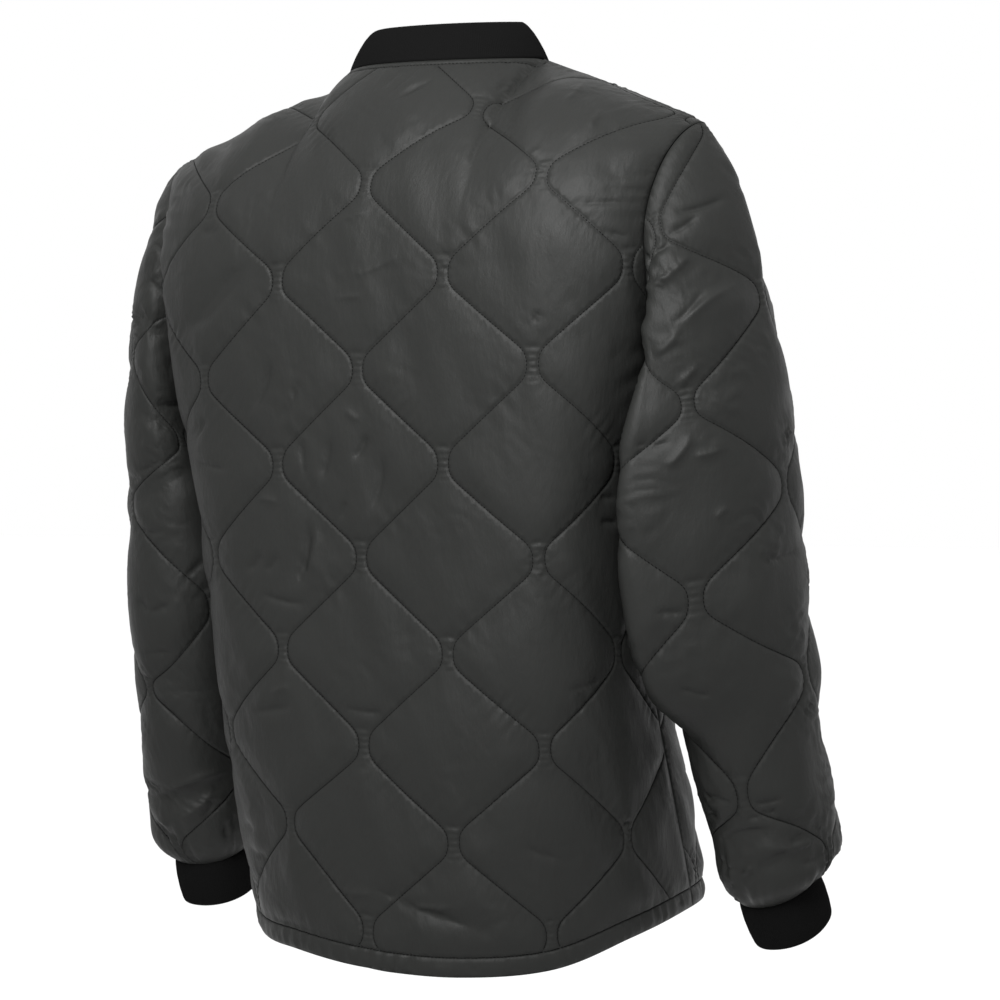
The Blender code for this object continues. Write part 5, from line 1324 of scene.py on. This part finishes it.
def half_outline(front):
    """Half a torso piece from its neck edge by the middle round to its hem, as named runs of points."""
    form = FRONT_FORM if front else BACK_FORM
    start = FRONT_EDGE if front else 0.0
    xs = np.linspace(NECK_HALF_WIDTH, SHOULDER_X, SHOULDER_STEPS + 1)
    side = side_edge(front)
    corner, level = side[-1]
    hem = []
    for x in np.linspace(corner, start, math.ceil((corner - start) / HEM_STEP) + 1):
        down = level
        for _ in range(HEM_ROUNDS):
            down = float(hem_down(side_seam_arc(down)[1] - x if front else x))
        hem.append((x, down))
    return {
        "neck": neck_flat(front),
        "shoulder": np.array([(x, top_down(form, x, front)) for x in xs]),
        "armhole": ARMHOLE_FLAT["front" if front else "back"],
        "side": side,
        "hem": np.array(hem),
    }


def shoulder_through(sign):
    """The direction out of the shoulder seam, on the side of the sign."""
    slope = (SHOULDER_DROP + NECK_SIDE_RISE) / (SHOULDER_X - NECK_HALF_WIDTH)
    return unit(np.array([slope * sign, 0.0, 1.0]))


def armhole_through(side, half):
    """The shared direction at each armhole point, between the body's own and the sleeve's."""
    sign, place = (1, place_front) if half == "front" else (-1, place_back)
    body = normals(place, ARMHOLE_FLAT[half] * [sign * MIRROR[side], 1])
    around = normals(SLEEVE_FORM[side].at, head_flat(-sign)) * MIRROR[side]
    return unit(body + around)


NECK_TURNS = np.concatenate([neck_directions(False)[0], neck_directions(True)[0][::-1]])
NECK_THROUGH = np.vstack([neck_directions(False)[1], neck_directions(True)[1][::-1]])
SLEEVE_FORM = {side: SleeveForm(side) for side in MIRROR}
HALVES = {"back": half_outline(False), "front": half_outline(True)}
ARMHOLE_THROUGH = {}
for side in MIRROR:
    behind, ahead = armhole_through(side, "back"), armhole_through(side, "front")
    loop = np.vstack([ahead[:0:-1], behind[:-1]])
    loop[0] = ahead[-1] + behind[-1]
    for _ in range(ARMHOLE_EASE):
        loop = unit(np.roll(loop, 1, axis=0) + 2 * unit(loop) + np.roll(loop, -1, axis=0))
    ARMHOLE_THROUGH[side, "front"] = loop[ARMHOLE_POINTS - 1 :: -1]
    ARMHOLE_THROUGH[side, "back"] = np.vstack([loop[ARMHOLE_POINTS - 1 :], loop[:1]])


def share_torso_seams(seams, half, side):
    """Gives a torso piece the directions of its seams on one side of the garment."""
    mirror = MIRROR[side]
    flip = -mirror if half == "back" else mirror
    runs = HALVES[half]
    shoulder = runs["shoulder"] * [flip, 1]
    seams.share(shoulder, np.tile(shoulder_through(mirror), (len(shoulder), 1)), SEAM_REACH)
    neck_through = neck_directions(half == "front")[1] * [mirror, 1, 1]
    seams.share(runs["neck"] * [flip, 1], neck_through, NECK_REACH)
    seams.share(runs["armhole"] * [flip, 1], ARMHOLE_THROUGH[side, half], SEAM_REACH)


def offset(line, distance, outline):
    """The line moved into the piece by the distance."""
    normal = across_line(line)
    middle = len(line) // 2
    if not is_inside((line + normal * INSIDE_TEST)[middle : middle + 1], outline)[0]:
        normal = -normal
    return line + normal * distance


def piece_lines(outline, first_neck, bands, tops=()):
    """Quilting and topstitching on a piece.

    bands are edges with a distance that the quilting keeps from them, where the topstitching lies.
    """
    near_edge = Nearest([closed(outline)])
    lines = []
    for line in [offset(edge, distance, outline) for edge, distance in bands] + list(tops):
        dense = resample(line, DENSE_STEP)
        lines += kept_runs(dense, is_inside(dense, outline) & (near_edge(dense)[0] > EDGE_CLEAR))
    near_bands = [(Nearest([edge]), distance) for edge, distance in bands]
    near_bands += [(Nearest([line]), 0.0) for line in tops]
    low, high = outline.min(axis=0), outline.max(axis=0)
    for gap_index in range(math.floor(low[0] / QUILT_ACROSS) - 1, math.ceil(high[0] / QUILT_ACROSS) + 1):
        line = zigzag(gap_index, first_neck, low[1], high[1])
        keep = is_inside(line, outline) & (near_edge(line)[0] > EDGE_CLEAR)
        for near, distance in near_bands:
            keep &= near(line)[0] > distance + EDGE_CLEAR
        lines += kept_runs(line, keep)
    return lines, [closed(outline)]


def make_back():
    runs = HALVES["back"]
    right = np.vstack([runs[name][:-1] for name in RUN_ORDER])
    outline = inset(np.vstack([right, runs["hem"][-1:], right[:0:-1] * [-1, 1]]), HALF_GAP)
    seams = Seams(place_back)
    for side in MIRROR:
        share_torso_seams(seams, "back", side)
    neck = np.vstack([runs["neck"][:0:-1] * [-1, 1], runs["neck"]])
    hem = np.vstack([runs["hem"][:-1], runs["hem"][::-1] * [-1, 1]])
    lines, edges = piece_lines(outline, BACK_NECK_DOWN, [(neck, NECK_BAND), (hem, HEM_BAND)])
    gathers = [(hem, *HEM_GATHER), (neck, *NECK_GATHER)]
    gathers += [(runs["armhole"] * [sign, 1], *ARMHOLE_GATHER) for sign in (1, -1)]
    is_open = [True] * len(outline)
    return quilted_piece("back", outline, is_open, seams, BACK_NECK_DOWN, lines, edges, gathers, 11)


def make_front(side):
    runs = HALVES["front"]
    flip = [MIRROR[side], 1]
    bottom, top = runs["hem"][-1], runs["neck"][0]
    edge = resample([bottom, top], HEM_STEP)
    outline = np.vstack([runs[name][:-1] for name in RUN_ORDER] + [edge[:-1]])
    outline = inset(outline * flip, HALF_GAP)
    seams = Seams(place_front)
    share_torso_seams(seams, "front", side)
    neck, hem = runs["neck"] * flip, runs["hem"] * flip
    beside_zip = np.array([
        [FRONT_EDGE + ZIP_BAND, top[1] + NECK_BAND + 2 * EDGE_CLEAR],
        [FRONT_EDGE + ZIP_BAND, bottom[1] - HEM_BAND - 2 * EDGE_CLEAR],
    ]) * flip
    lines, edges = piece_lines(outline, FRONT_NECK_DOWN, [(neck, NECK_BAND), (hem, HEM_BAND)], [beside_zip])
    gathers = [
        (hem, *HEM_GATHER), (neck, *NECK_GATHER), (edge * flip, *ZIP_GATHER),
        (runs["armhole"] * flip, *ARMHOLE_GATHER),
    ]
    name, is_open, seed = f"front_{side}", [True] * len(outline), FRONT_SEED[side]
    return quilted_piece(name, outline, is_open, seams, FRONT_NECK_DOWN, lines, edges, gathers, seed)


# ---------------------------------------------------------------- sleeves


def sleeve_outline():
    """The sleeve's cut, from the front underarm over the head to the back underarm and down to the cuff."""
    head = np.vstack([head_flat(-1)[:0:-1], head_flat(1)]) + [0, ARMHOLE_GAP]
    levels = np.linspace(CAP_DEPTH + ARMHOLE_GAP, SLEEVE_LENGTH, SLEEVE_SEAM_STEPS + 1)
    back_seam = on_cut(1, levels)
    bottom = on_cut(np.linspace(1, -1, CUFF_EDGE_STEPS + 1), SLEEVE_LENGTH)
    front_seam = back_seam[::-1] * [-1, 1]
    runs = ((head, True), (back_seam, False), (bottom, True), (front_seam, False))
    outline = np.vstack([run[:-1] for run, _ in runs])
    return outline, [is_open for run, is_open in runs for _ in run[:-1]], head, bottom


def cuff_axis(form, share):
    """Places on the sleeve's end, the way the cuff runs from there, and the way away from its middle."""
    ring = form.ring_at(share, np.full_like(share, SLEEVE_LENGTH))
    front, back, outer, inner = form.ring_at(np.array([-0.5, 0.5, 0.0, 1.0]), np.full(4, SLEEVE_LENGTH))
    axis = unit(np.cross(back - front, outer - inner))
    axis *= -np.sign(axis[2])
    away = ring - (front + back) / 2
    away = unit(away - (away @ axis)[:, None] * axis)
    return ring, axis, away


def cuff_edge_through(side, share):
    """The direction through the cloth at the sleeve's end, between the sleeve's own and the cuff's."""
    form = SLEEVE_FORM[side]
    around = normals(form.at, on_cut(share, SLEEVE_LENGTH - ABOVE_CUFF)) * form.mirror
    around[0] = around[-1] = unit(around[0] + around[-1])
    return unit(around + cuff_axis(form, share)[2])


def make_sleeve(side):
    outline, is_open, head, bottom = sleeve_outline()
    seams = Seams(SLEEVE_FORM[side].at, mirrored=side == "right")
    underarm = on_cut(1, np.linspace(CAP_DEPTH, SLEEVE_LENGTH, 2 * SLEEVE_SEAM_STEPS))
    shared = unit(seams.own(underarm) + seams.own(underarm * [-1, 1]))
    for sign in (1, -1):
        seams.share(underarm * [sign, 1], shared, NECK_REACH)
    for half, sign in (("back", 1), ("front", -1)):
        seams.share(head_flat(sign), ARMHOLE_THROUGH[side, half], SEAM_REACH)
    share = np.linspace(-1, 1, CUFF_EDGE_STEPS + 1)
    seams.share(on_cut(share, SLEEVE_LENGTH), cuff_edge_through(side, share), CUFF_REACH)
    first_neck, seed = SLEEVE_NECK_DOWN[side], SLEEVE_SEED[side]
    lines, edges = piece_lines(outline, first_neck, [])
    gathers = [(head, *HEAD_GATHER), (bottom, *CUFF_GATHER)]
    return quilted_piece(f"sleeve_{side}", outline, is_open, seams, first_neck, lines, edges, gathers, seed)


# ---------------------------------------------------------------- rib knit


def rib_band(name, foot, rise, first_through, through, profile, is_loop):
    """A band of rib knit: one closed section, swept along the band with a rib every RIB_PITCH."""
    lengths = arc_lengths(foot)
    ribs = round(lengths[-1] / RIB_PITCH)
    at = np.linspace(0, lengths[-1], ribs * RIB_COLUMNS + 1)
    if is_loop:
        at = at[:-1]
    base, up, low_out, out = (along_line(v, lengths, at) for v in (foot, rise, first_through, through))
    wave = 0.5 + 0.5 * np.cos(2 * math.pi * np.arange(len(at)) / RIB_COLUMNS)
    profile = resample(profile, RIB_ROW)[:-1]
    outside = int(np.argmax(profile[:, 0]))
    rows, uvs = [], []
    for k, (height, depth) in enumerate(profile):
        around = unit(low_out + (out - low_out) * np.clip(height / RIB_BLEND, 0, 1))
        level = np.clip(height / RIB_START, 0, 1)
        relief_here = RIB_RELIEF * wave * level * (1 if k < outside else -1)
        rows.append(base + up * (height + SEAM_GAP) + around * (depth + relief_here)[:, None])
        uvs.append(rows_of(at, height + k * 1e-6))
    count, size = len(at), len(rows)
    faces = []
    for i in range(size):
        for j in range(count if is_loop else count - 1):
            a, b = i * count + j, i * count + (j + 1) % count
            c, d = ((i + 1) % size) * count + (j + 1) % count, ((i + 1) % size) * count + j
            faces.append([a, b, c, d])
    if not is_loop:
        faces += [[i * count + end for i in range(size)] for end in (0, count - 1)]
    points = settle(np.array(rows).reshape(-1, 3))
    return new_piece(name, points, faces, [MATERIALS["rib"]], uv=np.vstack(uvs))


def make_collar():
    """A ribbed band that stands on the neck seam, open at centre front."""
    reach = math.pi - math.asin(COLLAR_END / NECK_HALF_WIDTH)
    turns = np.linspace(-reach, reach, COLLAR_STEPS)
    foot = np.array([neck_point(t) for t in turns])
    rise = np.array([collar_rise(t) for t in turns])
    out = np.array([collar_through(t) for t in turns])
    low_out = unit(along_line(NECK_THROUGH, NECK_TURNS, np.abs(turns)))
    low_out *= rows_of(np.sign(turns + 1e-9), 1, 1)
    collar = rib_band("collar_knit", foot, rise, low_out, out, COLLAR_PROFILE, is_loop=False)
    return collar, arc_lengths(foot)[-1]


def make_cuff(side):
    """A ribbed tube from the sleeve's end, drawn in a little at its free edge."""
    share = np.linspace(-1, 1, CUFF_STEPS)
    ring, axis, away = cuff_axis(SLEEVE_FORM[side], share)
    rise = np.tile(axis, (len(share), 1))
    low_out = cuff_edge_through(side, share)
    cuff = rib_band(f"cuff_{side}_knit", ring, rise, low_out, away, CUFF_PROFILE, is_loop=True)
    return cuff, arc_lengths(ring)[-1]


# ---------------------------------------------------------------- zip


def zip_frame(down):
    """Centre front at a place down the cloth: its point, the way down and the way out."""
    points = FRONT_FORM.at(rows_of(0.0, down + np.array([-ZIP_AROUND, 0.0, ZIP_AROUND])))
    along = unit(points[2] - points[0])
    out = np.cross(along, [1.0, 0.0, 0.0])
    out = unit(out) * (-1 if out[1] > 0 else 1)
    return points[1], along, out


def zip_half_gap(down):
    """Half the gap between the rows of teeth, which part where the slider's post stands between them."""
    above_post = np.clip((SLIDER_DOWN + POST_BELOW - down) / POST_SPREAD, 0, 1)
    return HALF_GAP + (SLIDER_POST + POST_CLEAR - HALF_GAP) * above_post


def zip_ends():
    """How far down the cloth the tape begins and ends."""
    top = top_down(FRONT_FORM, FRONT_EDGE, True) + TAPE_BELOW_NECK
    return top, HALVES["front"]["hem"][-1][1] - TAPE_ABOVE_HEM


def make_tape(side):
    """A woven tape behind the front's edge, with a corded bead that the teeth grip."""
    top, bottom = zip_ends()
    points, uvs = [], []
    downs = np.arange(top, bottom, TAPE_STEP)
    for down in downs:
        gap = zip_half_gap(down) + TOOTH_LENGTH * BEAD_IN_TOOTH
        _, _, out = zip_frame(down)
        front = [
            (gap, TAPE_FRONT - BEAD_RISE), (gap + BEAD_WIDTH, TAPE_FRONT - BEAD_RISE),
            (gap + BEAD_WIDTH + BEAD_SLOPE, TAPE_FRONT), (TAPE_EDGE, TAPE_FRONT),
        ]
        back = [(x, TAPE_FRONT + TAPE_BACK - depth) for x, depth in front[::-1]]
        for x, depth in front + back:
            on_form = FRONT_FORM.at(np.array([[x, down]]))[0]
            points.append((on_form - out * depth) * [MIRROR[side], 1, 1])
            uvs.append((x, down))
    faces = tube_faces(0, len(downs), len(front + back))
    tape = new_piece(f"tape_{side}", points, faces, [MATERIALS["tape"]], uv=uvs, sharp=50)
    return tape, (TAPE_EDGE - HALF_GAP, bottom - top)


def make_teeth(side):
    """Moulded teeth in a row, each a rounded block with a narrower head that locks between its neighbours."""
    top, bottom = zip_ends()
    start = top + TEETH_INSET + (0 if side == "left" else TOOTH_PITCH / 2)
    points, faces = [], []
    for down in np.arange(start, bottom - TEETH_INSET, TOOTH_PITCH):
        gap = zip_half_gap(down)
        middle, along, out = zip_frame(down)
        reach = TOOTH_REACH if down > SLIDER_DOWN + POST_BELOW else 0.0
        faces += tube_faces(len(points), len(TOOTH_SECTIONS), 4)
        for x, half, cut, is_head in TOOTH_SECTIONS:
            x = gap + x - reach * is_head
            half_along = half * TOOTH_PITCH
            for t, depth in (
                (-half_along, TEETH_FRONT + cut), (half_along, TEETH_FRONT + cut),
                (half_along, TEETH_BACK - cut), (-half_along, TEETH_BACK - cut),
            ):
                points.append((middle + [x, 0, 0] + along * t - out * depth) * [MIRROR[side], 1, 1])
    return new_piece(f"teeth_{side}", points, faces, [MATERIALS["teeth"]], sharp=40)


# ---------------------------------------------------------------- materials


class Nodes:
    """Builds a material's nodes in few words."""

    def __init__(self, name, colour, roughness, **sockets):
        self.material = bpy.data.materials.new(name)
        self.material.use_nodes = True
        self.tree = self.material.node_tree
        self.shader = self.tree.nodes["Principled BSDF"]
        self.shader.inputs["Base Color"].default_value = (*colour, 1)
        self.shader.inputs["Roughness"].default_value = roughness
        for socket, value in sockets.items():
            self.shader.inputs[socket.replace("_", " ")].default_value = value

    def add(self, kind, **settings):
        node = self.tree.nodes.new(kind)
        for name, value in settings.items():
            if name in node.inputs:
                node.inputs[name].default_value = value
            else:
                setattr(node, name, value)
        return node

    def link(self, start, end):
        self.tree.links.new(start, end)

    def place(self, kind="Object", scale=(1, 1, 1), turn=0.0):
        """Coordinates: the object's own metres, or the flat cloth's with kind UV."""
        source = self.add("ShaderNodeTexCoord")
        mapping = self.add("ShaderNodeMapping", Scale=scale, Rotation=(0, 0, turn))
        self.link(source.outputs[kind], mapping.inputs["Vector"])
        return mapping.outputs["Vector"]

    def noise(self, vector, scale, detail=3.0, rough=0.5):
        node = self.add("ShaderNodeTexNoise", Scale=scale, Detail=detail, Roughness=rough)
        self.link(vector, node.inputs["Vector"])
        return node.outputs["Fac"]

    def bands(self, vector, pitch, direction):
        node = self.add("ShaderNodeTexWave", Scale=math.pi / 10 / pitch, bands_direction=direction)
        self.link(vector, node.inputs["Vector"])
        return node.outputs["Fac"]

    def blend(self, fac, first, second):
        node = self.add("ShaderNodeMix", data_type="RGBA")
        node.inputs[6].default_value = (*first, 1)
        node.inputs[7].default_value = (*second, 1)
        self.link(fac, node.inputs["Factor"])
        return node.outputs[2]

    def ramp(self, value, low, high, to_low, to_high):
        node = self.add("ShaderNodeMapRange")
        for name, number in zip(("From Min", "From Max", "To Min", "To Max"), (low, high, to_low, to_high)):
            node.inputs[name].default_value = number
        self.link(value, node.inputs["Value"])
        return node.outputs["Result"]

    def math(self, operation, first, second):
        node = self.add("ShaderNodeMath", operation=operation)
        self.link(first, node.inputs[0])
        self.link(second, node.inputs[1])
        return node.outputs["Value"]

    def bump(self, height, distance, strength=1.0, below=None):
        node = self.add("ShaderNodeBump", Strength=strength, Distance=distance)
        self.link(height, node.inputs["Height"])
        if below is not None:
            self.link(below, node.inputs["Normal"])
        return node.outputs["Normal"]

    def finish(self, colour=None, roughness=None, normal=None):
        for socket, value in (("Base Color", colour), ("Roughness", roughness), ("Normal", normal)):
            if value is not None:
                self.link(value, self.shader.inputs[socket])
        return self.material


def taffeta(name, dark, light, roughness):
    """Plain-woven nylon: a fine even weave, faint creases and a soft, uneven sheen."""
    nodes = Nodes(name, dark, roughness, Specular_IOR_Level=SHELL_SPECULAR)
    flat = nodes.place("UV")
    weave = nodes.math("MULTIPLY", nodes.bands(flat, WEAVE, "X"), nodes.bands(flat, WEAVE, "Y"))
    object_place = nodes.place("Object")
    crinkle = nodes.noise(nodes.place("UV", scale=(1.0, 0.4, 1.0), turn=0.5), scale=170, detail=4, rough=0.6)
    normal = nodes.bump(crinkle, distance=0.0010, strength=0.6)
    normal = nodes.bump(weave, distance=WEAVE * 0.2, strength=0.5, below=normal)
    colour = nodes.blend(nodes.noise(object_place, scale=14, detail=5), dark, light)
    uneven = nodes.noise(object_place, scale=40, detail=4)
    sheen = nodes.ramp(uneven, 0.3, 0.7, roughness - 0.05, roughness + 0.06)
    return nodes.finish(colour, sheen, normal)


def rib_knit():
    """Soft matt yarn, with the small loops of each rib."""
    nodes = Nodes("rib", RIB_DARK, 0.9, Specular_IOR_Level=RIB_SPECULAR)
    flat = nodes.place("UV")
    loops = nodes.math("MULTIPLY", nodes.bands(flat, RIB_PITCH / 2, "X"), nodes.bands(flat, KNIT_ROW, "Y"))
    fuzz = nodes.noise(nodes.place("Object"), scale=1400, detail=3)
    fuzzy = nodes.bump(fuzz, distance=0.0002, strength=0.5)
    normal = nodes.bump(loops, distance=0.00025, strength=0.6, below=fuzzy)
    return nodes.finish(nodes.blend(loops, RIB_DARK, RIB_LIGHT), None, normal)


def woven_tape():
    """Twill, with its slanted lines."""
    nodes = Nodes("tape", TAPE_DARK, 0.75)
    twill = nodes.bands(nodes.place("UV", turn=0.8), TWILL_PITCH, "X")
    normal = nodes.bump(twill, distance=0.00012, strength=0.7)
    return nodes.finish(nodes.blend(twill, TAPE_DARK, TAPE_LIGHT), None, normal)


def moulded():
    """Smooth black plastic with a fine grain."""
    nodes = Nodes("teeth", TOOTH_COLOUR, 0.35)
    grain = nodes.noise(nodes.place("Object"), scale=900, detail=2)
    normal = nodes.bump(grain, distance=0.00005, strength=0.4)
    return nodes.finish(None, nodes.ramp(grain, 0.3, 0.7, 0.28, 0.42), normal)


def sewing_thread():
    """Dull twisted thread."""
    nodes = Nodes("thread", THREAD_COLOUR, 0.7, Specular_IOR_Level=THREAD_SPECULAR)
    twist = nodes.noise(nodes.place("Object"), scale=2500, detail=2)
    return nodes.finish(None, None, nodes.bump(twist, distance=0.0001, strength=0.6))


def enamelled_metal():
    """Black enamel over cast zinc, rubbed a little at its wear spots."""
    nodes = Nodes("zip_metal", METAL_DARK, 0.32, Metallic=0.6)
    place = nodes.place("Object")
    worn = nodes.ramp(nodes.noise(place, scale=260, detail=6, rough=0.6), 0.55, 0.75, 0.0, 1.0)
    rough = nodes.ramp(nodes.noise(place, scale=700, detail=3), 0.3, 0.7, 0.26, 0.40)
    normal = nodes.bump(worn, distance=0.00003, strength=0.5)
    return nodes.finish(nodes.blend(worn, METAL_DARK, METAL_WORN), rough, normal)


MATERIALS = {
    "shell": taffeta("shell", SHELL_DARK, SHELL_LIGHT, 0.46),
    "lining": taffeta("lining", LINING_DARK, LINING_LIGHT, 0.42),
    "rib": rib_knit(),
    "tape": woven_tape(),
    "teeth": moulded(),
    "thread": sewing_thread(),
    "metal": enamelled_metal(),
}


# ---------------------------------------------------------------- camera, lights and floor


def add_camera():
    turn = math.radians(CAMERA_AZIMUTH)
    towards = Vector((math.sin(turn), -math.cos(turn), 0.0))
    lens = bpy.data.cameras.new("camera")
    lens.lens, lens.sensor_width = LENS, SENSOR
    lens.shift_x, lens.shift_y = SHIFT_X, SHIFT_Y
    lens.clip_end = CLIP_END
    camera = bpy.data.objects.new("camera", lens)
    camera.location = Vector(CAMERA_TARGET) + towards * CAMERA_DISTANCE
    camera.rotation_euler = (-towards).to_track_quat("-Z", "Y").to_euler()
    bpy.context.scene.collection.objects.link(camera)
    bpy.context.scene.camera = camera


def add_light(name, azimuth, height, distance, size, power, spread, aim_height):
    """A soft square light that faces the jacket, at an azimuth measured as the camera's is."""
    turn = math.radians(azimuth)
    data = bpy.data.lights.new(name, "AREA")
    data.size, data.energy, data.spread = size, power, math.radians(spread)
    light = bpy.data.objects.new(name, data)
    light.location = (math.sin(turn) * distance, -math.cos(turn) * distance, height)
    aim = Vector((0, 0, aim_height)) - light.location
    light.rotation_euler = aim.to_track_quat("-Z", "Y").to_euler()
    bpy.context.scene.collection.objects.link(light)


def add_room():
    """A pale floor a wearer's height below the collar, under an even white studio."""
    mesh = bpy.data.meshes.new("floor")
    corners = [(x * FLOOR_REACH, y * FLOOR_REACH, FLOOR) for x, y in ((-1, -1), (1, -1), (1, 1), (-1, 1))]
    mesh.from_pydata(corners, [], [[0, 1, 2, 3]])
    floor = bpy.data.objects.new("floor", mesh)
    bpy.context.scene.collection.objects.link(floor)
    mesh.materials.append(Nodes("floor", FLOOR_COLOUR, 0.9).material)
    sun = bpy.data.lights.new("ceiling", "SUN")
    sun.angle, sun.energy = math.radians(SUN_ANGLE), SUN_POWER
    ceiling = bpy.data.objects.new("ceiling", sun)
    bpy.context.scene.collection.objects.link(ceiling)
    world = bpy.data.worlds.new("studio")
    world.use_nodes = True
    world.node_tree.nodes["Background"].inputs["Color"].default_value = (*WORLD_COLOUR, 1)
    world.node_tree.nodes["Background"].inputs["Strength"].default_value = WORLD_STRENGTH
    bpy.context.scene.world = world
    bpy.context.scene.view_settings.view_transform = "Standard"


# ---------------------------------------------------------------- the jacket


def declare(piece, node):
    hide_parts(node)
    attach(piece, "garment")


def main():
    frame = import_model()
    add_camera()
    add_light("key", **KEY_LIGHT)
    add_room()
    made = {"back": make_back()}
    for side in MIRROR:
        made[f"front_{side}"] = make_front(side)
        made[f"sleeve_{side}"] = make_sleeve(side)
    for node, (cloth, stitches, size, area) in made.items():
        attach(stitches, "garment")
        declare(cloth, node)
    collar, length = make_collar()
    declare(collar, "collar")
    for side in MIRROR:
        cuff, length = make_cuff(side)
        declare(
            cuff, f"cuff_{side}",
        )
        tape, size = make_tape(side)
        teeth = make_teeth(side)
        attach(teeth, "garment")
        declare(
            tape, f"zip_tape_{side}",
        )
    for node in ("zip_slider", "zip_pull"):
        for slot in frame["nodes"][node].material_slots:
            slot.material = MATERIALS["metal"]


def plain(box):
    return [[float(x) for x in corner] for corner in box]


main()
